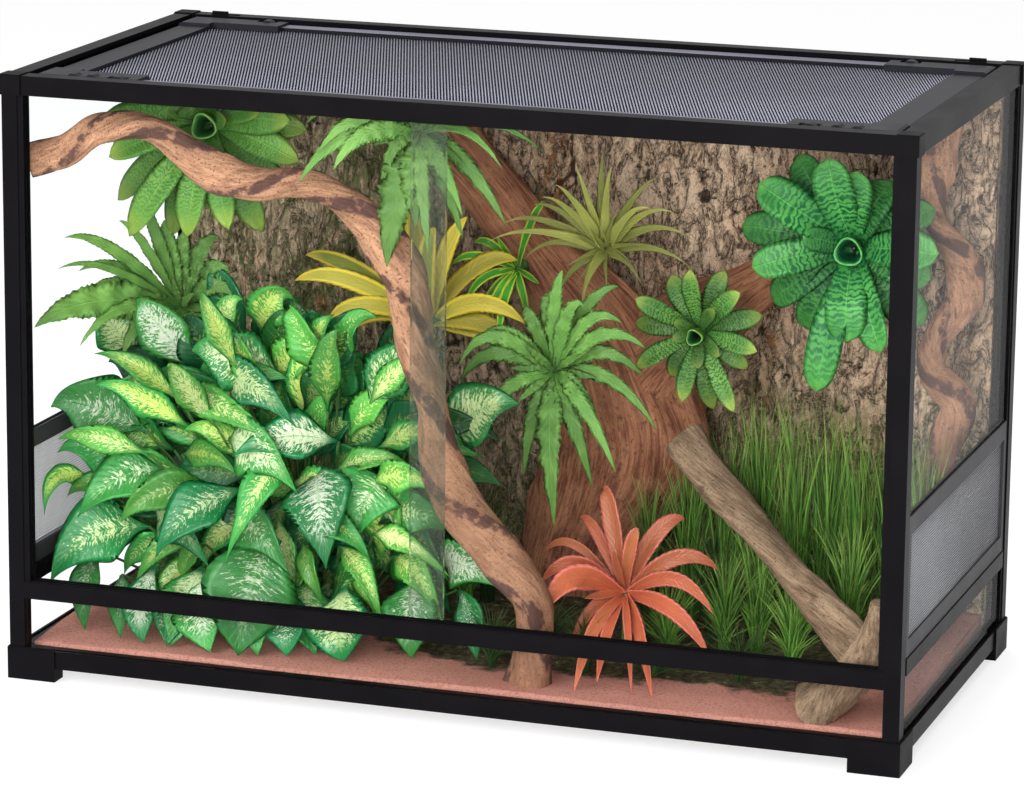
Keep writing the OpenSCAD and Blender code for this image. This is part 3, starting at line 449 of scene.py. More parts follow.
@dataclass(frozen=True)
class RailMetal:
    """Black rail whose front and back runs carry a long pale painted sheen on top, a painted highlight standing for
    reflected light.
    """

    name: str
    colour: Colour
    painted_sheen: Colour

    def made(self, front: float, back: float) -> bpy.types.Material:
        """The material.

        Args:
            front: Rear edge of the front run.
            back: Front edge of the back run.
        """
        n = NodeSheet(self.name)
        _, y, _ = n.split(n.place(Space.OBJECT))
        cloud = n.noise(n.place(Space.OBJECT, (0.2, 1, 1)), 30, 3)
        # Painted highlight: the tops of the front and back runs are lightened towards the painted sheen colour.
        run = n.sums("MAXIMUM", n.reach(y, front, front + 0.001, 1, 0), n.reach(y, back - 0.001, back))
        _, _, up = n.split(n.add("ShaderNodeTexCoord").outputs["Normal"])
        top = n.reach(up, 0.7, 0.9)
        run = n.sums("MULTIPLY", n.sums("MULTIPLY", run, top), n.reach(cloud, 0.3, 0.7, 0.75, 1.0))
        n.set(Base_Color=n.blend(run, self.colour, self.painted_sheen), Roughness=0.34, Specular_IOR_Level=0.06)
        return n.material


@dataclass(frozen=True)
class CoatedMetal:
    """Black coated aluminium profile: a faint orange peel and dull dust in the coat."""

    name: str
    colour: Colour
    shine: float = 0.3

    def made(self) -> bpy.types.Material:
        """The material."""
        n = NodeSheet(self.name)
        at = n.place(Space.OBJECT)
        cloud = n.noise(at, 14, 3)
        peel = n.noise(at, 900, 2)
        n.set(Base_Color=n.blend(n.reach(cloud, 0.35, 0.7), self.colour, tuple(c * 1.25 for c in self.colour)),
              Roughness=n.reach(cloud, 0.3, 0.75, self.shine, self.shine + 0.06),
              Specular_IOR_Level=0.02, Normal=n.bump(peel, 0.0004, 0.12))
        return n.material


@dataclass(frozen=True)
class MouldedPlastic:
    """Moulded plastic with a fine spark grain and rubbed patches."""

    name: str
    colour: Colour
    rough: float = 0.38
    grain: float = 700
    gloss: float = 0.12

    def made(self) -> bpy.types.Material:
        """The material."""
        n = NodeSheet(self.name)
        at = n.place(Space.OBJECT)
        cloud = n.noise(at, 30, 3)
        spark = n.noise(at, self.grain, 3)
        n.set(Base_Color=n.blend(n.reach(cloud, 0.3, 0.7), self.colour, tuple(c * 1.2 for c in self.colour)),
              Roughness=n.reach(cloud, 0.3, 0.7, self.rough, self.rough + 0.08),
              Specular_IOR_Level=self.gloss, Normal=n.bump(spark, 0.0003, 0.2))
        return n.material


@dataclass(frozen=True)
class PaneGlass:
    """Clear float glass with a green edge tone. Lamps and soft light pass straight through it."""

    name: str
    colour: Colour
    bend: float = 1.03

    def made(self) -> bpy.types.Material:
        """The material."""
        n = NodeSheet(self.name)
        at = n.place(Space.OBJECT)
        smear = n.noise(at, 7, 3)
        n.set(Base_Color=n.blend(n.reach(smear, 0.3, 0.8), self.colour, tuple(min(1, c + 0.01) for c in self.colour)),
              Roughness=0.0, IOR=self.bend, Transmission_Weight=1.0)
        clear = n.add("ShaderNodeBsdfTransparent")
        clear.inputs["Color"].default_value = (*self.colour, 1)
        path = n.add("ShaderNodeLightPath")
        soft = n.sums("MAXIMUM", path.outputs["Is Shadow Ray"], path.outputs["Is Diffuse Ray"])
        mixer = n.add("ShaderNodeMixShader")
        n.link(soft, mixer.inputs[0])
        n.link(n.shader.outputs[0], mixer.inputs[1])
        n.link(clear.outputs[0], mixer.inputs[2])
        n.link(mixer.outputs[0], n.out.inputs["Surface"])
        return n.material


@dataclass(frozen=True)
class MilkyStrip:
    """Milky clear seal: a thin grey veil over what is behind it, with drawn streaks."""

    name: str
    colour: Colour
    cover: float = 0.4

    def made(self) -> bpy.types.Material:
        """The material."""
        n = NodeSheet(self.name)
        at = n.place(Space.OBJECT, (60, 60, 3))
        streak = n.noise(at, 2, 3)
        n.set(Base_Color=n.blend(streak, self.colour, tuple(c * 0.7 for c in self.colour)),
              Roughness=0.35, Alpha=n.reach(streak, 0.2, 0.8, self.cover - 0.06, self.cover + 0.06))
        return n.material


@dataclass(frozen=True)
class WireMetal:
    """Drawn wire: grey metal, brighter and darker along its length."""

    name: str
    colour: Colour
    rough: float = 0.42
    metal: float = 0.6

    def made(self) -> bpy.types.Material:
        """The material."""
        n = NodeSheet(self.name)
        at = n.place(Space.OBJECT)
        patch = n.noise(at, 9, 3)
        fine = n.noise(at, 400, 2)
        n.set(Base_Color=n.blend(n.reach(patch, 0.3, 0.7), self.colour, tuple(c * 0.88 for c in self.colour)),
              Metallic=self.metal, Roughness=n.reach(fine, 0.3, 0.7, self.rough - 0.08, self.rough + 0.1))
        return n.material


@dataclass(frozen=True)
class FineSand:
    """Dry salmon sand: pale and dark grains, broad drifts, a grain bump, and moss and litter at the rear."""

    name: str
    pale: Colour
    deep: Colour
    moss: Colour = srgb(62, 66, 40)

    def made(self) -> bpy.types.Material:
        """The material."""
        n = NodeSheet(self.name)
        at = n.place(Space.OBJECT)
        grain = n.noise(at, 900, 2, 0.7)
        speck = n.cells(at, 1400, edge=False)
        drift = n.noise(at, 16, 4)
        tone = n.blend(n.reach(drift, 0.3, 0.7), self.pale, tuple(0.82 * a + 0.18 * b for a, b in zip(self.pale, self.deep)))
        tone = n.blend(n.reach(grain, 0.5, 0.72, 0, 0.75), tone, self.deep)
        tone = n.blend(n.reach(n.noise(at, 320, 2, 0.7), 0.52, 0.66, 0, 0.5), tone, self.deep)
        x, y, _ = n.split(at)
        edge = n.sums("ADD", n.sums("ADD", y, n.sums("MULTIPLY", n.reach(x, -0.2, -0.05, 1, 0), -0.1)),
                      n.sums("MULTIPLY", n.sums("SUBTRACT", n.noise(at, 26, 4), 0.5), 0.1))
        clump = n.noise(at, 110, 4, 0.7)
        litter = n.blend(n.reach(clump, 0.4, 0.6), tuple(c * 0.45 for c in self.moss), tuple(c * 2.2 for c in self.moss))
        litter = n.blend(n.reach(clump, 0.62, 0.66, 0, 0.8), litter, srgb(196, 178, 140))
        bare = n.reach(n.sums("ADD", x, n.sums("MULTIPLY", n.noise(at, 40, 3), 0.03)), 0.385, 0.4, 1, 0)
        tone = n.blend(n.sums("MULTIPLY", n.reach(edge, -0.138, -0.118, 0, 0.95), bare), tone, litter)
        n.set(Base_Color=tone, Roughness=0.95, Specular_IOR_Level=0.2,
              Normal=n.bump(n.sums("ADD", grain, speck), 0.002, 0.9))
        return n.material


@dataclass(frozen=True)
class BarkPlates:
    """Cork bark: tan plates, dark cracks from the attribute mark, lichen and moss by height and side."""

    name: str
    plate: Colour
    warm: Colour
    crack: Colour
    moss: Colour

    def made(self) -> bpy.types.Material:
        """The material."""
        n = NodeSheet(self.name)
        at = n.place(Space.OBJECT)
        x, _, z = n.split(at)
        long = n.place(Space.OBJECT, (1, 1, 0.35))
        streak = n.noise(long, 120, 5, 0.65)
        broad = n.noise(long, 17, 4)
        fleck = n.noise(at, 260, 3, 0.7)
        tone = n.blend(n.reach(broad, 0.35, 0.68), self.plate, self.warm)
        tone = n.blend(n.reach(streak, 0.46, 0.62, 0, 0.6), tone, tuple(c * 0.42 for c in self.warm))
        tone = n.blend(n.reach(fleck, 0.5, 0.64, 0, 0.75), tone, srgb(222, 204, 178))
        line = n.noise(n.place(Space.OBJECT, (1, 1, 0.42), (0, 5, 0)), 62, 5, 0.6, 0.8)
        thin = n.sums("ABSOLUTE", n.sums("SUBTRACT", line, 0.5))
        tone = n.blend(n.reach(thin, 0.004, 0.028, 0.92, 0), tone, self.crack)
        small = n.sums("ABSOLUTE", n.sums("SUBTRACT", n.noise(n.place(Space.OBJECT, (1, 1, 0.6)), 170, 4, 0.6, 0.5), 0.5))
        tone = n.blend(n.reach(small, 0.004, 0.03, 0.7, 0), tone, self.crack)
        rust = n.sums("MULTIPLY", n.reach(broad, 0.6, 0.68), n.reach(streak, 0.5, 0.58))
        tone = n.blend(rust, tone, srgb(206, 124, 78))
        tone = n.tint(tone, n.value_of("shade"), 0.75, 1.15)
        left = n.reach(x, -0.26, 0.02, 0.9, 0)
        low = n.reach(z, 0.16, 0.36, 0.8, 0)
        grown = n.sums("ADD", n.sums("MAXIMUM", left, low), n.reach(broad, 0.3, 0.7, -0.4, 0.2), clamp=True)
        strand = n.noise(n.place(Space.OBJECT, (1, 1, 0.25), (0, 14, 0)), 240, 4, 0.7)
        hair = n.blend(n.reach(strand, 0.42, 0.66), tuple(c * 0.3 for c in self.moss), self.moss)
        tone = n.blend(n.reach(n.value_of("mark"), 0.0, 0.5, 0.95, 0), tone, self.crack)
        tone = n.blend(n.sums("MULTIPLY", grown, n.reach(strand, 0.34, 0.56, 0.1, 0.9)), tone, hair)
        n.set(Base_Color=tone, Roughness=0.9, Specular_IOR_Level=0.25,
              Normal=n.bump(n.sums("ADD", n.reach(thin, 0.0, 0.08), n.sums("ADD", streak, n.sums(
                  "MULTIPLY", fleck, 0.5))), 0.005, 0.8))
        return n.material


@dataclass(frozen=True)
class GrainedWood:
    """Weathered wood with fibres along the piece. Its map runs along the limb and round it."""

    name: str
    light: Colour
    dark: Colour
    fibres: float = 26
    length: float = 5
    speck: float = 0.3
    calm: float = 0.35
    edge: Colour = (0.03, 0.02, 0.016)
    fade: float = 0.0

    def made(self) -> bpy.types.Material:
        """The material."""
        n = NodeSheet(self.name)
        around = n.place(Space.SURFACE, (self.length, self.fibres, 1))
        broad = n.place(Space.SURFACE, (self.length * 0.3, self.fibres * 0.16, 1))
        dots = n.place(Space.SURFACE, (self.length * 9, self.fibres * 1.4, 1))
        at = n.place(Space.OBJECT)
        fibre = n.noise(around, 1.0, 5, 0.7, 0.3)
        band = n.noise(broad, 1.0, 4, 0.6, 0.5)
        patch = n.noise(at, 34, 4)
        pit = n.noise(dots, 1.0, 3, 0.7)
        both = n.sums("ADD", n.sums("MULTIPLY", fibre, 0.6), n.sums("MULTIPLY", band, 0.4))
        tone = n.ramp(both, (0.34, tuple(c * 0.45 for c in self.dark)), (0.45, self.dark),
                      (0.52, tuple(0.5 * a + 0.5 * b for a, b in zip(self.dark, self.light))), (0.62, self.light))
        tone = n.blend(n.reach(patch, 0.42, 0.68, 0, self.calm), tone, self.light)
        tone = n.blend(n.reach(pit, 0.56, 0.68, 0, self.speck), tone, tuple(c * 0.3 for c in self.dark))
        if self.fade:
            _, _, z = n.split(at)
            tone = n.blend(n.reach(z, 0.05, 0.5, self.fade, 0), tone, tuple(c * 0.8 for c in self.dark))
        # Grain lines and, on ridged limbs, painted shade along the ridge come from the mark. Noise and fibres vary
        # them, and they darken the colour towards edge.
        grain_and_painted_shade = n.sums("MULTIPLY", n.value_of("mark"), n.reach(n.noise(at, 70, 4, 0.6), 0.3, 0.7, 0.45, 1.25))
        grain_and_painted_shade = n.sums("ADD", grain_and_painted_shade, n.sums("MULTIPLY", n.sums("SUBTRACT", fibre, 0.5), 1.3))
        tone = n.blend(n.reach(grain_and_painted_shade, 0.35, 0.75, 0, 0.9), tone, self.edge)
        n.set(Base_Color=tone, Roughness=n.reach(fibre, 0.3, 0.7, 0.85, 0.62), Specular_IOR_Level=0.3,
              Normal=n.bump(n.sums("ADD", fibre, n.sums("MULTIPLY", pit, 0.25)), 0.003, 0.8))
        return n.material


@dataclass(frozen=True)
class LeafSkin:
    """Surface of one kind of leaf, on a map with u from root to tip and v from edge to edge.

    Attributes:
        name: Name of the material.
        body: Colour of the blade.
        deep: Colour towards the root and in the bands or veins.
        rim: Colour of the margin, and of the tip.
        cream: Colour of the mottling beside the rib.
        mottle: How far the mottling reaches, 0 for none.
        bands: How many cross bands, 0 for none.
        margin: Width of the coloured margin as a share of the half blade.
        tip: How much of the length the tip colour takes.
        shine: Roughness.
        shade_low: Brightness of the darkest leaf as a share.
        veins: How strong the veins or bands are.
        other: Second colour that some leaves lean to.
        gloss: Strength of the mirror part.
    """

    name: str
    body: Colour
    deep: Colour
    rim: Colour
    cream: Colour = (0.8, 0.85, 0.6)
    mottle: float = 0.0
    bands: float = 0.0
    margin: float = 0.0
    tip: float = 0.0
    shine: float = 0.42
    shade_low: float = 0.55
    veins: float = 0.12
    other: Optional[Colour] = None
    gloss: float = 0.24

    def made(self) -> bpy.types.Material:
        """The material."""
        n = NodeSheet(self.name)
        u, v, _ = n.split(n.place(Space.SURFACE))
        half = n.sums("MULTIPLY", n.sums("ABSOLUTE", n.sums("SUBTRACT", v, 0.5)), 2.0)
        at = n.place(Space.OBJECT)
        soft = n.noise(at, 22, 3)
        fine = n.noise(at, 210, 3, 0.65)
        slant = n.sums("SUBTRACT", u, n.sums("MULTIPLY", half, -0.03 if self.bands else 0.16))
        ripple = n.noise(n.place(Space.SURFACE, (6, 2.6, 1)), 1.6, 3)
        warp = n.sums("ADD", n.sums("MULTIPLY", n.sums("SUBTRACT", fine, 0.5), 0.012 if self.bands else 0.03),
                      n.sums("MULTIPLY", n.sums("SUBTRACT", ripple, 0.5), 0.16 if self.bands else 0.02))
        count = n.sums("MULTIPLY", n.sums("ADD", slant, warp), 6.2832 * (self.bands or 15))
        vein = n.sums("SINE", count)
        vein_up = n.reach(vein, -0.6, 0.8) if self.bands else n.reach(vein, -1, 1)
        if self.bands:
            torn = n.noise(n.place(Space.SURFACE, (self.bands * 0.7, 5, 1)), 1.0, 3, 0.7)
            vein_up = n.sums("ADD", n.sums("MULTIPLY", vein_up, 0.95), n.reach(torn, 0.3, 0.7, -0.35, 0.35), clamp=True)
        tone = n.blend(n.reach(soft, 0.32, 0.7), self.body, tuple(0.55 * a + 0.45 * b for a, b in zip(self.body, self.deep)))
        if self.other:
            leaning = n.reach(n.sums("FRACT", n.sums("MULTIPLY", n.value_of("shade"), 5.3)), 0.2, 0.9)
            tone = n.blend(leaning, tone, self.other)
        tone = n.blend(n.reach(u, 0.0, 0.34, 0.62, 0), tone, self.deep)
        strength = n.reach(u, 0.5, 1.0, self.veins, self.veins * 0.35) if self.bands else n.reach(
            soft, 0.2, 0.8, 0.4 * self.veins, 0.9 * self.veins)
        tone = n.blend(n.sums("MULTIPLY", vein_up, strength), tone, self.deep)
        if self.mottle:
            rays = n.noise(n.join(n.sums("MULTIPLY", slant, 44.0), n.sums("MULTIPLY", half, 4.6),
                                  n.sums("MULTIPLY", n.value_of("shade"), 40.0)), 1.0, 5, 0.78, 0.5)
            reach = n.sums("SUBTRACT", n.reach(u, 0.1, 0.8, self.mottle, self.mottle * 0.6), half)
            window = n.sums("MULTIPLY", n.reach(u, 0.04, 0.2), n.reach(u, 0.66, 0.9, 1, 0))
            window = n.sums("MULTIPLY", window, n.reach(half, self.mottle + 0.02, self.mottle + 0.2, 1, 0))
            cloud = n.sums("ADD", n.sums("MULTIPLY", n.sums("SUBTRACT", rays, 0.5), 2.6),
                           n.sums("MULTIPLY", reach, 0.42))
            some = n.reach(n.sums("FRACT", n.sums("MULTIPLY", n.value_of("shade"), 3.1)), 0.0, 0.7, -0.14, 0.1)
            over = n.sums("MULTIPLY", n.reach(n.sums("ADD", cloud, some), 0.08, 0.18), window)
            kind = n.reach(n.sums("FRACT", n.sums("MULTIPLY", n.value_of("shade"), 9.7)), 0.3, 0.8)
            tone = n.blend(over, tone, n.blend(kind, self.cream, tuple(a * b for a, b in zip(self.cream, (0.86, 0.94, 0.56)))))
        if self.margin:
            tone = n.blend(n.reach(n.sums("ADD", half, warp), 1 - self.margin, 1 - self.margin * 0.6), tone, self.rim)
        if self.tip:
            tone = n.blend(n.reach(n.sums("ADD", u, warp), 1 - self.tip, 1.0, 0, 0.9), tone, self.rim)
        rib = n.reach(half, 0.0, 0.07, 0.55, 0)
        tone = n.blend(n.sums("MULTIPLY", rib, 0.6), tone, tuple(min(1, c * 1.5 + 0.02) for c in self.body))
        tone = n.tint(tone, n.value_of("shade"), self.shade_low, 1.08)
        height = n.sums("ADD", n.sums("MULTIPLY", vein_up, 0.22), n.sums("ADD", n.sums("MULTIPLY", fine, 0.25), rib))
        n.set(Base_Color=tone, Roughness=n.reach(soft, 0.3, 0.7, self.shine, self.shine + 0.14),
              Specular_IOR_Level=self.gloss, Normal=n.bump(height, 0.0016, 0.55))
        return n.material


@dataclass(frozen=True)
class CupSkin:
    """The funnel of leaves in a rosette's heart: green outside, a pale lip and a hollow painted dark as painted shade.
    """

    name: str
    body: Colour
    deep: Colour

    def made(self) -> bpy.types.Material:
        """The material."""
        n = NodeSheet(self.name)
        u, _, _ = n.split(n.place(Space.SURFACE))
        fine = n.noise(n.place(Space.OBJECT), 180, 3)
        # Outside to inside: deep, body, a paler lip, then deep and near black in the hollow as painted shade.
        tone = n.ramp(n.sums("ADD", u, n.sums("MULTIPLY", n.sums("SUBTRACT", fine, 0.5), 0.12)),
                      (0.0, self.deep), (0.4, self.body), (0.52, tuple(min(1, c * 1.3) for c in self.body)),
                      (0.66, self.deep), (0.85, tuple(c * 0.12 for c in self.deep)))
        n.set(Base_Color=tone, Roughness=n.reach(fine, 0.3, 0.7, 0.36, 0.5), Normal=n.bump(fine, 0.001, 0.3))
        return n.material


# ---------------------------------------------------------------- leaves and limbs


@dataclass(frozen=True)
class LeafCut:
    """The cut of one kind of leaf.

    Attributes:
        root: Width at the root as a share of the widest.
        rise: Where along the leaf it is widest.
        blunt: How long the width lasts towards the tip.
        fall: How the width ends: 1 pointed, 0.5 round.
        fold: How far the edges stand above the rib, as a share of the half width.
        ruffle: Height of the edge's waves as a share of the half width.
        ruffles: Waves along the leaf.
        teeth: Depth of the margin's teeth as a share of the half width.
        tooth_count: Teeth along the leaf.
        thick: Thickness at the rib, in metres.
        along: Points from root to tip.
        round: Points across the upper side.
    """

    root: float = 0.2
    rise: float = 0.4
    blunt: float = 2.0
    fall: float = 1.0
    fold: float = 0.16
    ruffle: float = 0.0
    ruffles: float = 4.0
    teeth: float = 0.0
    tooth_count: int = 0
    thick: float = 0.0009
    along: int = 18
    round: int = 7

    def width(self, s: Array) -> Array:
        """Half width at s from 0 at the root to 1 at the tip, with 1 at its widest.

        Args:
            s: Places along the leaf.

        Returns:
            A smooth rise to the widest place times (1 - t^blunt)^fall past it, less the teeth.
        """
        up = self.root + (1 - self.root) * ease(s, 0.0, self.rise)
        past = np.clip((s - self.rise) / (1 - self.rise), 0, 1)
        w = up * np.maximum(1 - past ** self.blunt, 0) ** self.fall
        if self.tooth_count:
            w = w * (1 - self.teeth * np.abs(2 * ((s * self.tooth_count) % 1) - 1) ** 0.7)
        return np.maximum(w, 0.012)


@dataclass
class LeafSet:
    """Leaves of one cut, as arrays with a row for each leaf, in metres.

    Attributes:
        cut: Their cut.
        root: Where each starts.
        tip: Where each ends.
        arch: How far the middle stands off the straight line.
        width: Full width.
        roll: Turn of the blade about its rib at the root and at the tip, in radians.
        shade: 0 for dark to 1 for light.
        face: The way that the upper side looks.
        curl: How far the last part of each leaf hangs over.
    """

    cut: LeafCut
    root: Array
    tip: Array
    arch: Array
    width: Array
    roll: Array
    shade: Array
    face: Array = field(default_factory=lambda: np.array([0.0, -1.0, 0.25]))
    curl: Optional[Array] = None

    def skin(self, seed: int = 1) -> Skin:
        """The leaves as closed lenses.

        The rib is root + (tip - root) s + arch 4s(1-s) + curl (s^4 - s). Across it a point at v from -1 to 1 lies at
        the half width times v to the side, fold |v| and ruffle sin(ruffles s) |v|^1.5 up, and
        thickness (1 - v^2) up or down.

        Args:
            seed: Chooses other ruffles.

        Returns:
            One skin with an item for each leaf.
        """
        cut, n = self.cut, len(self.root)
        s = np.linspace(0, 1, cut.along)[None, :, None]
        rib = self.root[:, None] + (self.tip - self.root)[:, None] * s + self.arch[:, None] * 4 * s * (1 - s)
        if self.curl is not None:
            rib = rib + self.curl[:, None] * (s ** 4 - s)
        ahead = unit(np.gradient(rib, axis=1))
        side = unit(np.cross(ahead, np.broadcast_to(self.face, rib.shape)))
        up = np.cross(side, ahead)
        roll = (self.roll[:, 0, None] * (1 - s[..., 0]) + self.roll[:, 1, None] * s[..., 0])[..., None]
        side, up = side * np.cos(roll) + up * np.sin(roll), up * np.cos(roll) - side * np.sin(roll)
        v = np.linspace(-1, 1, cut.round)
        v = np.concatenate([v, v[-2:0:-1]])
        flip = np.concatenate([np.ones(cut.round), -np.ones(cut.round - 2)])
        half = (self.width[:, None] / 2 * cut.width(s[..., 0]))[..., None]
        wander = np.sin(seed + np.arange(n) * 2.4)[:, None, None] * 3
        wave = np.sin(2 * math.pi * cut.ruffles * s + wander + np.where(v < 0, 1.3, 0)[None, None])
        lift = half * (cut.fold * np.abs(v) + cut.ruffle * wave * np.abs(v) ** 1.5)
        lift = lift + flip * cut.thick / 2 * (1 - v ** 2) * np.sqrt(np.maximum(cut.width(s[..., 0]), 0.2))[..., None]
        points = rib[:, :, None] + side[:, :, None] * (half * v)[..., None] + up[:, :, None] * lift[..., None]
        across = np.concatenate([(v + 1) / 2, [0.0]])
        return Skin(within_room(points), across, self.shade)


def fanned(cut: LeafCut, centre: Sequence[float], leaves: Sequence[tuple[float, ...]], width: float,
           forward: tuple[float, float], bow: float, droop: float, seed: int, start: float = 4,
           curl: float = 0) -> LeafSet:
    """Leaves that spread from a centre, in millimetres.

    Args:
        cut: Their cut.
        centre: Where they meet.
        leaves: Angle in the front plane, in degrees, and length of each; a third value scales its width and a
            fourth is how far its tip comes forward.
        width: Full width.
        forward: How far tips of odd and of even leaves come forward.
        bow: How far the middle comes forward.
        droop: How far the tips hang.
        seed: Chooses other small differences.
        start: Radius at which they start.
        curl: How far the tips hang over.

    Returns:
        The set in metres.
    """
    dice = np.random.default_rng(seed)
    rows = np.array([(*r, *(1.0, math.nan)[len(r) - 2:]) for r in leaves], float)
    n = len(rows)
    angle = np.radians(rows[:, 0])
    out = np.stack([np.cos(angle), np.zeros(n), np.sin(angle)], -1)
    ahead = np.where(np.arange(n) % 2 == 0, forward[0], forward[1]) * dice.uniform(0.8, 1.2, n)
    ahead = np.where(np.isnan(rows[:, 3]), ahead, rows[:, 3])
    hang = droop * (0.4 + 0.6 * np.abs(np.cos(angle))) * dice.uniform(0.7, 1.2, n)
    root = np.array(centre, float) + out * start
    tip = np.array(centre, float) + out * rows[:, 1, None]
    tip[:, 1] -= ahead
    arch = np.stack([np.zeros(n), -bow * dice.uniform(0.7, 1.3, n), hang * 0.62], -1)
    # Leaves whose tips come further forward get a higher shade value and so a lighter colour. Those held back get a
    # darker one, as painted shade.
    near = (ahead - ahead.min()) / max(float(np.ptp(ahead)), 1e-6)
    over = np.stack([np.cos(angle) * 0, np.zeros(n), -curl * dice.uniform(0.5, 1.3, n)], -1)
    return LeafSet(cut, root * MM, tip * MM, arch * MM, rows[:, 2] * width * dice.uniform(0.9, 1.1, n) * MM,
                   dice.uniform(-0.35, 0.35, (n, 2)), 0.12 + 0.6 * near + dice.uniform(0, 0.25, n),
                   curl=over * MM)


@dataclass(frozen=True)
class Limb:
    """A wooden limb along a path, in millimetres.

    Attributes:
        path: Points that it passes through.
        size: Half width, half depth and turn in degrees at each point.
        rings: Rings along it.
        round: Points round it.
        groove: Depth of its fibres as a share of its radius.
        ridge: Height of the ridge that winds round it as a share of its radius.
        lobes: Broad swellings as a share of its radius.
        seed: Chooses another grain.
        fine: How many fibres lie round it.
        wind: How fast the ridge winds round it, in radians per millimetre.
    """

    path: Sequence[Sequence[float]]
    size: Sequence[Sequence[float]]
    rings: int = 140
    round: int = 40
    groove: float = 0.06
    ridge: float = 0.0
    lobes: float = 0.1
    seed: int = 3
    fine: float = 7.0
    wind: float = 0.016

    def skin(self) -> Skin:
        """The limb's rings.

        A ring is an ellipse turned by the turn angle. Its radius is multiplied by 1, plus lobes from
        broad noise, plus groove from fibre noise that is long along the path, plus a bell-shaped
        ridge at one angle of the ellipse.

        Returns:
            One skin whose mark is high in grooves and on the ridge's shaded side.
        """
        path = through(np.array(self.path, float), self.rings)
        size = through(np.array(self.size, float), self.rings)
        ahead = unit(np.gradient(path, axis=0))
        side = unit(np.cross(ahead, np.array([0, 1.0, 0])))
        deep = np.cross(side, ahead)
        a = np.linspace(0, 2 * math.pi, self.round, endpoint=False)
        run = np.concatenate([[0], np.cumsum(np.linalg.norm(np.diff(path, axis=0), axis=1))])
        around = np.stack(np.broadcast_arrays(2.2 * np.cos(a)[None], 2.2 * np.sin(a)[None], run[:, None] / 60), -1)
        fibre = np.stack(np.broadcast_arrays(self.fine * np.cos(a)[None], self.fine * np.sin(a)[None],
                                             run[:, None] / 46), -1)
        grain = layered_noise(fibre, self.seed, 3)
        swell = layered_noise(around, self.seed + 5, 2)
        turn = a[None] - 0.25 - run[:, None] * self.wind
        bell = np.exp(-(np.angle(np.exp(1j * turn)) / 0.6) ** 4) + 0.9 * np.exp(
            -(np.angle(np.exp(1j * (turn - 3.0))) / 0.42) ** 4)
        wild = 0.8 + 0.4 * lattice_noise(np.stack([run / 30, run * 0, run * 0], -1), self.seed + 9)
        k = 1 + self.lobes * swell - self.groove * np.abs(grain) * 1.6 + self.ridge * bell * wild[:, None]
        w = np.radians(size[:, 2])[:, None]
        p, q = size[:, 0:1] * np.cos(a) * k, size[:, 1:2] * np.sin(a) * k
        points = (path[:, None] + side[:, None] * (p * np.cos(w) - q * np.sin(w))[..., None]
                  + deep[:, None] * (p * np.sin(w) + q * np.cos(w))[..., None])
        dark = np.clip(0.9 - np.abs(grain) * 3.2, 0, 1) * 0.6
        # The mark holds dark grain lines and, on ridged limbs, a dark band along the winding ridge that is painted
        # shade.
        mark = np.maximum(dark, bell * 0.95) if self.ridge > 0.1 else dark
        across = np.append(np.linspace(0, 1, self.round, endpoint=False), 1.0)
        return Skin(within_room(points * MM)[None], across, np.array([0.5]), mark[None])


def sand_height(x: Array, y: Array) -> Array:
    """Height of the sand in millimetres: a slope to the back with shallow drifts, as in the CAD."""
    return (26 + 8 + 10 * (y + 203) / 387
            + 2 * np.sin(np.radians(x * 1.1 + 40)) * np.cos(np.radians(y * 1.5)))


# ---------------------------------------------------------------- finishes


BLACK_METAL = CoatedMetal("black_coated_profile", (0.005, 0.0045, 0.0054), 0.28)
BLACK_MOULDING = MouldedPlastic("black_moulding", (0.005, 0.0045, 0.0054), 0.34, gloss=0.02)
LID_MOULDING = MouldedPlastic("lid_moulding", (0.02, 0.02, 0.026), 0.34, 700, 0.06)
# The pale colour is the painted sheen: a painted highlight on the tops of the front and back runs.
LID_RAIL = RailMetal("lid_rail", (0.014, 0.014, 0.018), srgb(128, 126, 140))
GREY_STRIP = MouldedPlastic("grey_strip", srgb(62, 62, 65), 0.45)
CLEAR_PANE = PaneGlass("clear_pane", (0.985, 0.995, 0.99))
MILKY_SEAL = MilkyStrip("milky_seal", srgb(66, 76, 60), 0.17)
# The long and cross wires are one screen metal: the long ones are given a pale colour as a painted highlight for
# reflected light, the cross ones near black as painted shade.
LID_WIRE_PAINTED_HIGHLIGHT = WireMetal("lid_wire_painted_highlight", srgb(150, 150, 166), 0.42, 0.2)
LID_CROSS_PAINTED_SHADE = WireMetal("lid_wire_painted_shade", (0.006, 0.006, 0.012), 0.8, 0.0)
VENT_WEFT = WireMetal("vent_weft", srgb(186, 186, 190), 0.45, 0.3)
VENT_WARP = WireMetal("vent_warp", srgb(104, 104, 108), 0.5, 0.3)
SALMON_SAND = FineSand("salmon_sand", srgb(255, 180, 162), srgb(186, 108, 94))
CORK_BARK = BarkPlates("cork_bark", srgb(236, 202, 172), srgb(218, 176, 144), srgb(56, 42, 32), srgb(96, 116, 60))
RED_ROOT = GrainedWood("red_root", srgb(200, 138, 102), srgb(126, 76, 54), 150, 16, 0.9, 0.45, srgb(64, 34, 26))
VINE_WOOD = GrainedWood("vine_wood", srgb(200, 150, 116), srgb(146, 104, 80), 26, 44, 1.8, 0.3, srgb(66, 42, 40), 0.6)
PROP_WOOD = GrainedWood("prop_wood", srgb(168, 140, 114), srgb(108, 86, 66), 44, 12, 1.1, 0.3, srgb(62, 48, 38))
STALK_GREEN = GrainedWood("stalk_green", srgb(96, 138, 66), srgb(44, 84, 36), 6, 6, 0.2, 0.3, srgb(40, 70, 30))

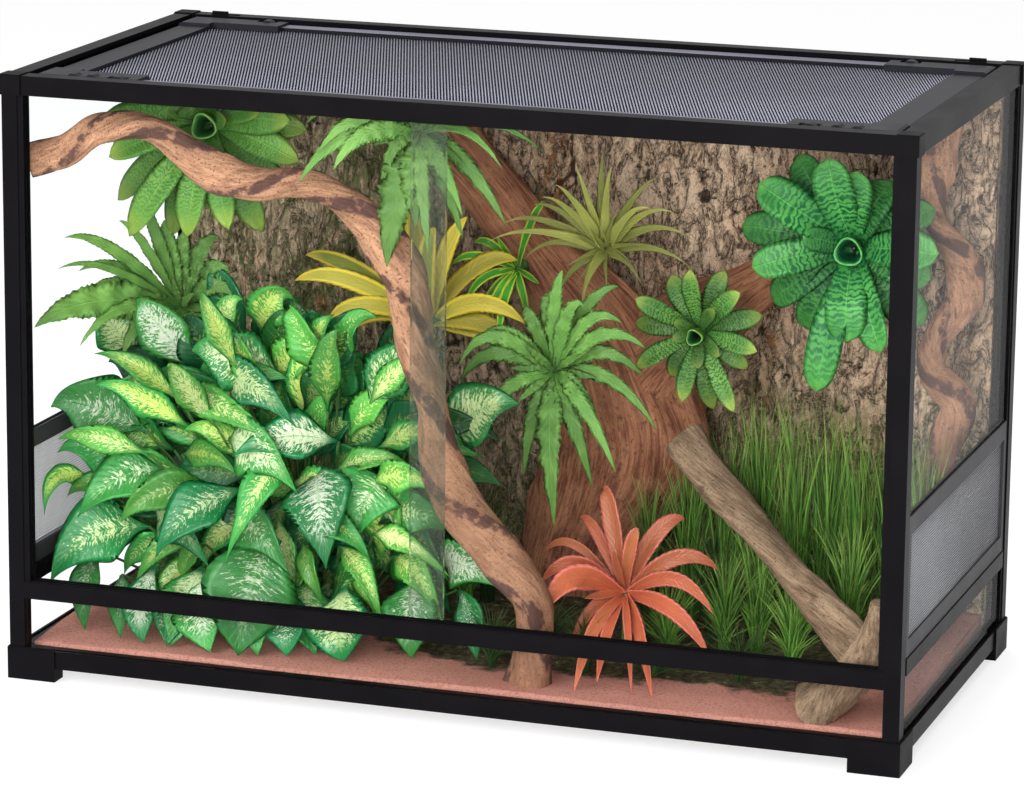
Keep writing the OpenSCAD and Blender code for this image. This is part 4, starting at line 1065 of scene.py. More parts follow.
SHRUB_LEAF = LeafSkin("shrub_leaf", srgb(64, 152, 66), srgb(20, 96, 50), srgb(24, 96, 40),
                      cream=srgb(222, 232, 206), mottle=0.66, shine=0.26, veins=0.3, shade_low=0.62,
                      other=srgb(24, 124, 66), gloss=0.3)
SHRUB_SLIM = LeafSkin("shrub_slim", srgb(92, 172, 66), srgb(34, 116, 48), srgb(40, 120, 44),
                      cream=srgb(212, 224, 146), mottle=0.6, shine=0.28, veins=0.3, other=srgb(54, 148, 64),
                      gloss=0.28)
# A darker copy of the shrub leaf for the leaves behind, as painted shade.
SHRUB_PAINTED_SHADE = LeafSkin("shrub_leaf_painted_shade", srgb(48, 124, 50), srgb(12, 66, 34), srgb(14, 62, 30),
                      cream=srgb(160, 196, 110), mottle=0.4, shine=0.3, veins=0.3, shade_low=0.3,
                      other=srgb(22, 96, 52))
LIGHT_LEAF = LeafSkin("light_leaf", srgb(110, 154, 66), srgb(20, 78, 36), srgb(146, 166, 74), bands=19, tip=0.26,
                      veins=1.0)
TOP_LEAF = LeafSkin("top_leaf", srgb(106, 152, 62), srgb(40, 102, 42), srgb(132, 156, 62), bands=27, tip=0.26,
                    veins=0.85)
FERN_LEAF = LeafSkin("fern_leaf", srgb(116, 162, 78), srgb(52, 100, 44), srgb(130, 174, 90), margin=0.06, veins=0.15)
YELLOW_LEAF = LeafSkin("yellow_leaf", srgb(156, 164, 72), srgb(108, 132, 58), srgb(242, 216, 74), margin=0.5, tip=0.2,
                       other=srgb(222, 202, 84))
SPRIG_LEAF = LeafSkin("sprig_leaf", srgb(84, 170, 52), srgb(48, 130, 42), srgb(196, 220, 70), margin=0.5)
OLIVE_LEAF = LeafSkin("olive_leaf", srgb(164, 166, 84), srgb(124, 128, 64), srgb(196, 186, 118), tip=0.35, veins=0.05)
DARK_LEAF = LeafSkin("dark_leaf", srgb(84, 162, 76), srgb(0, 80, 42), srgb(100, 172, 80), bands=17, tip=0.1,
                     veins=1.0)
CORAL_LEAF = LeafSkin("coral_leaf", srgb(194, 100, 68), srgb(150, 68, 48), srgb(218, 118, 102), margin=0.3, tip=0.08,
                      veins=0.04, shine=0.26, other=srgb(176, 104, 66))
GRASS_LEAF = LeafSkin("grass_leaf", srgb(124, 180, 70), srgb(70, 122, 44), srgb(164, 196, 96), tip=0.4, shade_low=0.3,
                      other=srgb(78, 128, 50))
DARK_GRASS = LeafSkin("dark_grass", srgb(64, 98, 42), srgb(28, 50, 22), srgb(108, 120, 62), tip=0.3, shade_low=0.35)

OVAL_CUT = LeafCut(root=0.06, rise=0.42, blunt=1.25, fall=1.15, fold=0.26, ruffle=0.12, ruffles=1.8, along=24,
                   round=9)
SLIM_CUT = LeafCut(root=0.06, rise=0.4, blunt=1.15, fall=1.1, fold=0.42, ruffle=0.16, ruffles=2.2, along=24, round=7)
STRAP_CUT = LeafCut(root=0.5, rise=0.62, blunt=2.6, fall=0.8, fold=0.22, ruffle=0.03, along=18, round=7)
BROAD_CUT = LeafCut(root=0.55, rise=0.6, blunt=3.4, fall=0.6, fold=0.2, ruffle=0.03, along=18, round=7)
HANG_CUT = LeafCut(root=0.14, rise=0.55, blunt=1.5, fall=1.05, fold=0.24, ruffle=0.1, ruffles=2.0, along=22, round=9)
CORAL_CUT = LeafCut(root=0.6, rise=0.45, blunt=2.3, fall=0.9, fold=0.34, ruffle=0.05, along=22, round=7)
SPEAR_CUT = LeafCut(root=0.55, rise=0.4, blunt=2.8, fall=0.9, fold=0.34, ruffle=0.08, ruffles=2.0, along=20, round=7)
FERN_CUT = LeafCut(root=0.4, rise=0.35, blunt=1.8, fall=0.85, fold=0.12, ruffle=0.2, ruffles=6, teeth=0.12,
                   tooth_count=24, along=97, round=5)
QUILL_CUT = LeafCut(root=0.9, rise=0.06, blunt=1.05, fall=1.0, fold=0.45, along=18, round=5, thick=0.0013)
BLADE_CUT = LeafCut(root=0.35, rise=0.3, blunt=1.5, fall=1.0, fold=0.2, along=8, round=3, thick=0.0006)


# ---------------------------------------------------------------- the cabinet


@dataclass
class Cabinet:
    """Frame, feet, panes and runners, shown by their CAD nodes in real finishes."""

    metal: Sequence[str] = (
        "base_rail_front", "base_rail_back", "base_rail_left", "base_rail_right", "post_front_left",
        "post_front_right", "post_back_left", "post_back_right", "top_rail_front", "top_rail_back",
        "top_rail_left", "top_rail_right", "mid_rail_left", "mid_rail_right")
    moulded: Sequence[str] = ("feet", "top_corners", "cable_gate_left", "cable_gate_right", "door_sill",
                              "door_jambs")
    grey: Sequence[str] = ("vent_frame_left", "vent_frame_right")
    panes: Sequence[str] = ("floor_glass", "front_low_glass", "door_left_glass", "door_right_glass",
                            "back_glass", "side_glass_left", "side_glass_right", "low_glass_left",
                            "low_glass_right")
    vent_pitch: float = 0.0026
    vent_wire: float = 0.0009

    def dress(self, nodes: dict[str, bpy.types.Object]) -> None:
        """Gives each node its finish.

        Args:
            nodes: The CAD nodes by name.
        """
        for names, finish in ((self.metal, BLACK_METAL), (self.moulded, BLACK_MOULDING),
                              (self.grey, GREY_STRIP), (self.panes, CLEAR_PANE), (("door_seal",), MILKY_SEAL)):
            material = finish.made()
            for name in names:
                paint(nodes[name], material)

    def build_vents(self) -> None:
        """Wire cloth in both side vents, where the CAD has a slotted sheet."""
        weft, warp = VENT_WEFT.made(), VENT_WARP.made()
        for side in ("left", "right"):
            node = f"vent_mesh_{side}"
            low, high = (np.array(v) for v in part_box(node))
            x = (low[0] + high[0]) / 2
            rows = np.arange(low[2] + self.vent_pitch / 2, high[2], self.vent_pitch)
            columns = np.arange(low[1] + self.vent_pitch / 2, high[1], self.vent_pitch)
            r = self.vent_wire / 2
            across = wires(np.stack([rows * 0 + x + r * 0.7, rows * 0 + low[1], rows], -1),
                           np.stack([rows * 0 + x + r * 0.7, rows * 0 + high[1], rows], -1), r * 1.2)
            upright = wires(np.stack([columns * 0 + x - r * 0.7, columns, columns * 0 + low[2]], -1),
                            np.stack([columns * 0 + x - r * 0.7, columns, columns * 0 + high[2]], -1), r * 0.8)
            make_piece(f"vent_weft_{side}", [across], "cabinet", weft, [node])
            make_piece(f"vent_warp_{side}", [upright], "cabinet", warp, [node])


@dataclass
class ScreenLid:
    """The lift-off lid: black rails, four moulded corners with latches, and a woven wire screen."""

    pitch: float = 0.00293
    cross_pitch: float = 0.0014
    long_wire: float = 0.0015
    cross_wire: float = 0.0008
    turn: float = 19.9

    def dress(self, nodes: dict[str, bpy.types.Object]) -> None:
        """Gives the rails, corners and latches their finishes.

        Args:
            nodes: The CAD nodes by name.
        """
        low, high = (np.array(v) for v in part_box("lid_screen"))
        paint(nodes["lid_rails"], LID_RAIL.made(float(low[1]) + 0.006, float(high[1]) - 0.006))
        rail = LID_MOULDING.made()
        for name in ("lid_corners", "latch_front_left", "latch_front_right", "latch_back_left",
                     "latch_back_right"):
            paint(nodes[name], rail)

    def build_screen(self) -> None:
        """Bright wires from front to back, turned a little to the left, over thinner dark ones across them; the bright
        ones are painted pale as a painted highlight and the dark ones near black as painted shade.
        """
        low, high = (np.array(v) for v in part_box("lid_screen"))
        r, q = self.long_wire / 2, self.cross_wire / 2
        long = wires(*hatch(low, high, self.turn, self.pitch, high[2] - r), r)
        cross = wires(*hatch(low, high, self.turn - 90, self.cross_pitch, high[2] - 2 * r), q)
        make_piece("screen_long_wires", [long], "lid", LID_WIRE_PAINTED_HIGHLIGHT.made(), ["lid_screen"])
        make_piece("screen_cross_wires", [cross], "lid", LID_CROSS_PAINTED_SHADE.made(), ["lid_screen"])


def paint(node: bpy.types.Object, material: bpy.types.Material) -> None:
    """Puts the material alone on a CAD node and leaves its mesh as it is."""
    while len(node.data.materials) > 1:
        node.data.materials.pop()
    if node.data.materials:
        node.data.materials[0] = material
    else:
        node.data.materials.append(material)
    LOG.info("%s: %s", node.name, material.name)


def hatch(low: Array, high: Array, turn: float, pitch: float, level: float) -> tuple[Array, Array]:
    """Even straight lines over a rectangle.

    Args:
        low: Its low corner.
        high: Its high corner.
        turn: Degrees by which the lines turn from the y axis towards -x.
        pitch: Distance between neighbours.
        level: Their height.

    Returns:
        Starts and ends: point k is offset k times the normal, and the line is cut where it leaves the rectangle.
    """
    c, d = math.cos(math.radians(turn)), math.sin(math.radians(turn))
    ahead, across = np.array([-d, c]), np.array([c, d])
    reach = np.array([[x, y] for x in (low[0], high[0]) for y in (low[1], high[1])]) @ across
    foot = np.arange(reach.min() + pitch / 2, reach.max(), pitch)[:, None] * across
    one, two = (low[:2] - foot) / ahead, (high[:2] - foot) / ahead
    near, far = np.minimum(one, two).max(1), np.maximum(one, two).min(1)
    kept = far - near > 0.002
    ends = [foot[kept] + t[kept, None] * ahead for t in (near, far)]
    start, end = (np.concatenate([e, np.full((len(e), 1), level)], 1) for e in ends)
    return start, end


def wires(start: Array, end: Array, radius: float) -> Skin:
    """Straight six-sided wires from start to end.

    Args:
        start: First ends, shape (wires, 3).
        end: Last ends.
        radius: Their radius.

    Returns:
        One skin: each ring is start + (end - start) t plus radius (cos a, sin a) across it.
    """
    ahead = unit(end - start)
    side = unit(np.cross(ahead, np.array([0.31, 0.27, 0.91])))
    up = np.cross(side, ahead)
    a = np.linspace(0, 2 * math.pi, 6, endpoint=False)
    ring = radius * (side[:, None] * np.cos(a)[None, :, None] + up[:, None] * np.sin(a)[None, :, None])
    ends = np.stack([start, end], 1)
    return Skin(ends[:, :, None] + ring[:, None], np.linspace(0, 1, 7), np.full(len(start), 0.5))


# ---------------------------------------------------------------- ground, bark and wood


@dataclass
class Ground:
    """Sand on the floor pane, with small drifts and pits."""

    half_width: float = 431.0
    front: float = -202.8
    back: float = 184.0
    floor: float = 27.5
    steps: tuple[int, int] = (170, 84)

    def build(self) -> None:
        """The sand as a closed block whose top is sand_height plus two scales of noise."""
        x = np.linspace(-self.half_width, self.half_width, self.steps[0])
        y = np.linspace(self.front, self.back, self.steps[1])
        gx, gy = np.meshgrid(x, y, indexing="ij")
        flat = np.stack([gx / 26, gy / 26, gx * 0], -1)
        z = sand_height(gx, gy) + 1.1 * layered_noise(flat, 3, 3) + 0.5 * layered_noise(flat * 5, 9, 2)
        top = np.stack([gx, gy, z], -1)
        feet = [np.stack([x, x * 0 + y0, x * 0 + self.floor], -1)[:, None] for y0 in (self.back, self.front)]
        ring = np.concatenate([top, *feet], axis=1) * MM
        across = np.linspace(0, 1, ring.shape[1] + 1)
        make_piece("sand", [Skin(ring[None], across, np.array([0.5]))], "cabinet", SALMON_SAND.made(),
                   ["sand_bed"])


@dataclass
class BarkWall:
    """Cork bark against the back pane, cut by long winding fissures."""

    left: float = -431.0
    right: float = 431.0
    low: float = 31.6
    high: float = 573.8
    rear: float = 209.0
    steps: tuple[int, int] = (380, 250)
    relief: float = 9.0

    def build(self) -> None:
        """The face stands at 195 + waves, less plates that fall to 0 along the zero lines of two noises."""
        x = np.linspace(self.left, self.right, self.steps[0])
        z = np.linspace(self.low, self.high, self.steps[1])
        gx, gz = np.meshgrid(x, z, indexing="ij")
        rough = np.stack([gx / 20, gz / 34, gx * 0], -1)
        bend = layered_noise(rough, 21, 3)
        fissure = np.abs(layered_noise(np.stack([gx / 15 + bend, gz / 52, gx * 0 + 3], -1), 5, 3))
        split = np.abs(layered_noise(np.stack([gx / 7, gz / 17 + bend, gx * 0 + 9], -1), 8, 3))
        lump = layered_noise(np.stack([gx / 11, gz / 19, gx * 0 + 5], -1), 14, 3)
        plate = (ease(fissure, 0.0, 0.16) * 3.6 + ease(split, 0.0, 0.12) * 1.5 + 2.6 * lump
                 + 1.2 * layered_noise(rough * 6, 17, 2))
        waves = self.relief * (0.5 * np.sin(np.radians(gx * 2.3 + 40 * np.sin(np.radians(gz * 1.7))))
                               + 0.35 * np.sin(np.radians(gz * 1.3 + gx * 0.8)))
        y = 195 + waves - plate
        face = np.stack([gx, np.clip(y, 183.5, 206), gz], -1)
        rear = [np.stack([x, x * 0 + self.rear, x * 0 + z0], -1)[:, None] for z0 in (self.high, self.low)]
        ring = np.concatenate([face, *rear], axis=1) * MM
        crack = np.maximum(1 - ease(fissure, 0.0, 0.1), 0.6 * (1 - ease(split, 0.0, 0.06)))
        mark = np.concatenate([crack * -1 + 1, np.ones((self.steps[0], 2))], axis=1)
        across = np.linspace(0, 1, ring.shape[1] + 1)
        make_piece("bark", [Skin(ring[None], across, np.array([0.6]), mark[None])], "cabinet",
                   CORK_BARK.made(), ["bark_panel"])


@dataclass
class Driftwood:
    """The red root, the two vines and the two prop branches."""

    def build(self) -> None:
        """Each limb runs along the path that its CAD solid has."""
        root = Limb(
            [[22, 146, 30], [22, 146, 70], [42, 148, 133], [60, 148, 205], [30, 148, 306], [-26, 148, 386],
             [-66, 148, 430], [-130, 148, 500], [-172, 148, 560]],
            [[74, 33, 0], [66, 33, 0], [78, 33, 0], [92, 33, 0], [66, 32, 0], [38, 30, 0], [34, 28, 0],
             [32, 26, 0], [28, 24, 0]], 280, 150, 0.045, 0.0, 0.18, 4, 14.0)
        arm = Limb(
            [[70, 150, 250], [130, 150, 318], [200, 150, 372], [262, 150, 420], [296, 150, 470]],
            [[60, 30, 0], [48, 30, 0], [26, 24, 0], [22, 20, 0], [16, 15, 0]], 150, 64, 0.08, 0.0, 0.14, 6, 7.0)
        make_piece("root", [root.skin(), arm.skin()], "cabinet", RED_ROOT.made(), ["trunk"])
        left = Limb(
            [[-433, -197, 512], [-398, -188, 524], [-366, -176, 545], [-316, -166, 546], [-262, -160, 512],
             [-215, -155, 498], [-166, -138, 498], [-118, -124, 468], [-72, -128, 410], [-48, -160, 350],
             [-30, -168, 300], [-20, -170, 250], [4, -170, 200], [48, -170, 152], [74, -168, 112],
             [72, -164, 60], [66, -160, 24]],
            [[15, 6, 0], [17, 8, 20], [20, 12, 60], [20, 12, 120], [19, 13, 170], [17, 12, 220], [20, 13, 270],
             [21, 14, 330], [22, 14, 380], [20, 15, 430], [18, 15, 480], [20, 15, 530], [24, 16, 580],
             [24, 18, 610], [25, 18, 640], [24, 18, 660], [28, 22, 680]], 330, 40, 0.07, 0.16, 0.16, 11)
        vine = VINE_WOOD.made()
        make_piece("vine_left", [left.skin()], "cabinet", vine, ["liana_left"])
        right = Limb(
            [[392, 120, 572], [387, 122, 510], [381, 122, 462], [410, 122, 420], [416, 122, 380], [392, 122, 342],
             [386, 122, 306], [412, 122, 274], [403, 122, 236], [386, 122, 176], [380, 124, 110], [384, 126, 30]],
            [[18, 12, 0], [18, 13, 30], [20, 12, 90], [20, 12, 150], [17, 12, 200], [19, 13, 260], [20, 13, 310],
             [18, 13, 370], [18, 14, 420], [19, 15, 460], [20, 16, 500], [24, 20, 540]], 230, 40, 0.07, 0.16,
            0.16, 13)
        make_piece("vine_right", [right.skin()], "cabinet", vine, ["liana_right"])
        long = Limb([[158, 40, 236], [196, 20, 200], [250, -20, 168], [308, -66, 132], [356, -104, 104],
                     [404, -142, 74]],
                    [[20, 16, 0], [19, 15, 40], [23, 15, 90], [22, 15, 130], [21, 14, 180], [22, 14, 220]],
                    150, 36, 0.09, 0.06, 0.14, 15)
        short = Limb([[421, -178, 150], [412, -176, 118], [396, -176, 84], [372, -174, 58], [352, -172, 38]],
                     [[14, 13, 0], [16, 14, 30], [26, 16, 60], [36, 20, 90], [40, 24, 110]], 90, 36, 0.1, 0.06,
                     0.16, 17)
        make_piece("prop_branches", [long.skin(), short.skin()], "cabinet", PROP_WOOD.made(), ["branch_props"])


# ---------------------------------------------------------------- plants


def stalks(start: Array, end: Array, radius: float, sag: Sequence[float] = (0, 0, 0)) -> Skin:
    """Round stalks, thinner towards the end.

    Args:
        start: First ends in millimetres, shape (stalks, 3).
        end: Last ends.
        radius: Radius at the start.
        sag: How far the middle stands off the straight line.

    Returns:
        One skin: rings about start + (end - start) t + sag 4t(1-t), with radius times 1 - 0.4t.
    """
    t = np.linspace(0, 1, 9)[None, :, None]
    path = start[:, None] + (end - start)[:, None] * t + np.array(sag, float) * 4 * t * (1 - t)
    ahead = unit(np.gradient(path, axis=1))
    side = unit(np.cross(ahead, np.array([0.3, 0.9, 0.2])))
    up = np.cross(side, ahead)
    a = np.linspace(0, 2 * math.pi, 7, endpoint=False)[None, None, :, None]
    ring = radius * (1 - 0.4 * t[..., None]) * (side[:, :, None] * np.cos(a) + up[:, :, None] * np.sin(a))
    points = (path[:, :, None] + ring) * MM
    return Skin(within_room(points), np.linspace(0, 1, 8), np.full(len(start), 0.5))


@dataclass
class SpreadPlant:
    """A plant whose leaves spread from one heart and whose stalk runs back to what carries it.

    Attributes:
        name: Name of the leaves' piece.
        node: CAD node that it stands for.
        slot: Name of its material slot; not used.
        centre: The heart, in millimetres.
        hold: Where the stalk meets the bark, root, vine, side pane or sand.
        cut: Cut of the leaves.
        finish: Their surface.
        leaves: Angle, length and, if given, width share and forward reach of each.
        width: Full width.
        forward: How far the tips of odd and of even leaves come forward.
        bow: How far the middle comes forward.
        droop: How far the tips hang.
        heart: Number, length and forward reach of the young leaves in the middle.
        seed: Chooses small differences.
        cup: Radius of the cup in the heart, 0 for none.
        curl: How far the tips hang over.
    """

    name: str
    node: str
    slot: str
    centre: tuple[float, float, float]
    hold: tuple[float, float, float]
    cut: LeafCut
    finish: LeafSkin
    leaves: Sequence[tuple[float, ...]]
    width: float
    forward: tuple[float, float] = (16, 34)
    bow: float = 12
    droop: float = 14
    heart: tuple[int, float, float] = (6, 34, 30)
    seed: int = 1
    cup: float = 0.0
    curl: float = 0.0

    def build(self, stalk: bpy.types.Material) -> None:
        """Outer leaves, young leaves in the heart, a solid crown and the stalk behind.

        Args:
            stalk: Finish of the stalk.
        """
        outer = fanned(self.cut, self.centre, self.leaves, self.width, self.forward, self.bow, self.droop,
                       self.seed, curl=self.curl)
        count, length, reach = self.heart
        turns = 137.5 * np.arange(count) + 20 * self.seed
        young = [(float(a), length * (0.75 + 0.25 * (k % 3)), 0.62) for k, a in enumerate(turns)]
        inner = fanned(self.cut, self.centre, young, self.width, (reach, reach * 0.7), self.bow * 0.3, 3,
                       self.seed + 50, 2)
        # The young leaves in the heart are darkened by halving their shade: painted shade.
        inner.shade = inner.shade * 0.5
        make_piece(self.name, [outer.skin(self.seed), inner.skin(self.seed + 1)], "cabinet", self.finish.made(),
                   [self.node])
        c, h = np.array([self.centre], float), np.array([self.hold], float)
        parts = [stalks(c + [[0, 5, 0]], h, 4.5, (0, 0, -5)), stalks(c + [[0, 14, 0]], c + [[0, 24, 0]], 7)]
        make_piece(f"{self.name}_stalk", parts, "cabinet", stalk, [self.node])
        if self.cup:
            make_piece(f"{self.name}_cup", [self.cup_skin()], "cabinet", CupSkin(
                f"{self.name}_cup", self.finish.body, self.finish.deep).made(), [self.node])

    def cup_skin(self) -> Skin:
        """The cup in the heart: a profile of radius and depth turned about the line to the front.

        Returns:
            One skin: centre + radius (cos a, 0, sin a) times 1 + 0.1 cos 3a, at the profile's depth.
        """
        shape = np.array([[0.02, 8], [0.45, 6], [0.7, -6], [0.95, -20], [1.0, -25], [0.86, -25], [0.66, -15],
                          [0.4, -4], [0.02, 0]])
        a = np.linspace(0, 2 * math.pi, 20, endpoint=False)
        radius = self.cup * shape[:, 0:1] * (1 + 0.1 * np.cos(3 * a + self.seed))[None]
        points = np.stack([radius * np.cos(a), np.broadcast_to(shape[:, 1:2], radius.shape) + 2 * np.cos(2 * a)
                           * (shape[:, 0:1] > 0.5), radius * np.sin(a)], -1) + np.array(self.centre, float)
        return Skin(points[None] * MM, np.linspace(0, 1, 21), np.array([0.5]))


PLANTS = (
    SpreadPlant("top_rosette", "bromeliad_top", "light_leaf", (-298, -60, 536), (-298, 196, 536), STRAP_CUT,
                TOP_LEAF,
                ((166, 76), (-160, 99), (-140, 130), (-123, 133), (-110, 122), (-97, 110), (-92, 86), (-73, 103), (-62, 118),
                 (-15, 106), (0, 102), (18, 69), (137, 35), (-178, 104), (-38, 104), (8, 96)),
                31, (6, 34), 12, 12, (5, 44, 34), 1, 13),
    SpreadPlant("left_fern", "fern_left", "fern_leaf", (-338, -50, 345), (-434, -46, 330), FERN_CUT, FERN_LEAF,
                ((179, 94, 2.1, 140), (103, 118, 0.8, 40), (138, 92, 0.5, 140), (126, 112, 0.8, 130),
                 (-162, 58, 0.9, 120), (82, 82, 1.2, 10), (96, 92, 1.2, 16), (59, 90, 1.4, 10), (36, 70, 1.3, 6),
                 (14, 68, 1.3, 12), (166, 84, 1.0, 40), (150, 90, 0.8, 70), (-20, 72, 1.2, 16), (-50, 74, 1.2, 20),
                 (-90, 66, 1.2, 30), (-132, 56, 1.3, 60), (112, 104, 0.7, 60), (176, 72, 1.0, 90)),
                19, (30, 16), 4, 20, (8, 46, 26), 2, 0, 20),
    SpreadPlant("hanging_fern", "fern_hanging", "fern_leaf", (-54, -138, 556), (-92, -127, 438), FERN_CUT,
                FERN_LEAF,
                ((-103, 134, 2.3), (-155, 120, 1.2), (179, 111), (-154, 80, 1.3), (-121, 70), (-78, 112, 1.2),
                 (-64, 108, 1.2), (-52, 90, 1.2), (-42, 122, 1.2), (-14, 97, 0.6), (-4, 126, 0.5), (-167, 90),
                 (-90, 90, 1.8)),
                18, (10, 40), 10, 26, (7, 44, 20), 3, 0, 18),
    SpreadPlant("striped_leaves", "striped_plant", "yellow_leaf", (-120, 80, 322), (-120, 194, 322), SPEAR_CUT,
                YELLOW_LEAF,
                ((155, 144), (163, 137), (97, 132), (67, 128), (37, 120), (7, 115), (-7, 98), (-180, 98),
                 (-169, 86), (122, 150), (110, 106), (80, 107)),
                20, (10, 40), 14, 22, (5, 60, 26), 4, 0, 16),
    SpreadPlant("sprig_leaves", "striped_plant", "yellow_leaf", (-33, 92, 381), (-30, 194, 372), SPEAR_CUT,
                SPRIG_LEAF,
                ((-122, 70), (-110, 62), (-72, 54), (176, 60), (66, 80), (-142, 58), (150, 48), (-96, 66)),
                10, (8, 30), 8, 14, (3, 30, 20), 10, 0, 12),
    SpreadPlant("air_plant_leaves", "air_plant", "olive_leaf", (61, 86, 410), (61, 150, 400), QUILL_CUT,
                OLIVE_LEAF,
                ((171, 108), (177, 109), (-168, 84), (104, 90), (-129, 85), (79, 92), (54, 96), (29, 94), (10, 94),
                 (40, 80), (90, 102), (137, 78), (-39, 55), (119, 79), (-8, 96), (-100, 60), (152, 84)),
                13, (10, 38), 8, 14, (8, 40, 34), 5, 0, 16),
    SpreadPlant("centre_fern", "fern_centre", "fern_leaf", (42, -14, 305), (42, 140, 300), FERN_CUT, FERN_LEAF,
                ((-171, 93), (155, 73), (118, 60), (80, 111), (53, 117), (21, 112), (-23, 120), (-49, 116),
                 (-47, 81), (-85, 149, 1.5), (-104, 110), (-134, 98), (3, 95), (61, 90), (92, 76), (175, 84),
                 (-68, 120, 1.2), (38, 100)),
                18, (14, 38), 14, 30, (10, 50, 30), 6, 0, 24),
    SpreadPlant("light_rosette", "bromeliad_light", "light_leaf", (168, 62, 338), (168, 152, 334), STRAP_CUT,
                LIGHT_LEAF,
                ((175, 66), (148, 68), (118, 64), (94, 68), (69, 70), (46, 70), (20, 68), (-6, 67), (-31, 59),
                 (-58, 83), (-78, 77), (-99, 66), (-121, 54), (-149, 66)),
                21, (4, 28), 9, 6, (5, 32, 30), 7, 8),
    SpreadPlant("dark_rosette", "bromeliad_dark", "dark_leaf", (315, 84, 430), (315, 196, 430), BROAD_CUT,
                DARK_LEAF,
                ((173, 114), (142, 107), (124, 105), (100, 96), (63, 78), (-168, 94), (-144, 100), (-100, 140),
                 (-118, 96), (-67, 101), (-19, 80), (-87, 86), (178, 67), (83, 83), (30, 90), (5, 92),
                 (-45, 100)),
                38, (2, 40), 14, 8, (3, 60, 40), 8, 14),
    SpreadPlant("coral_rosette", "bromeliad_red", "coral_leaf", (139, -84, 108), (139, -80, 34), CORAL_CUT,
                CORAL_LEAF,
                ((107, 101, 1.2, -20), (132, 84, 0.8, -30), (54, 92, 1.2, -20), (18, 96, 1.1, -10), (-4, 96, 1.0, 20),
                 (-22, 108, 1.2, 46), (-52, 94, 0.9, 92), (-64, 82, 0.6, 88), (-104, 76, 1.0, 98),
                 (-170, 62, 1.9, 74), (172, 76, 1.2, 30), (163, 92, 0.6, -10), (-84, 60, 0.8, 104),
                 (-128, 70, 0.8, 40), (76, 70, 0.9, 10)),
                15, (10, 44), 5, 24, (4, 40, 30), 9, 0, 26),
)


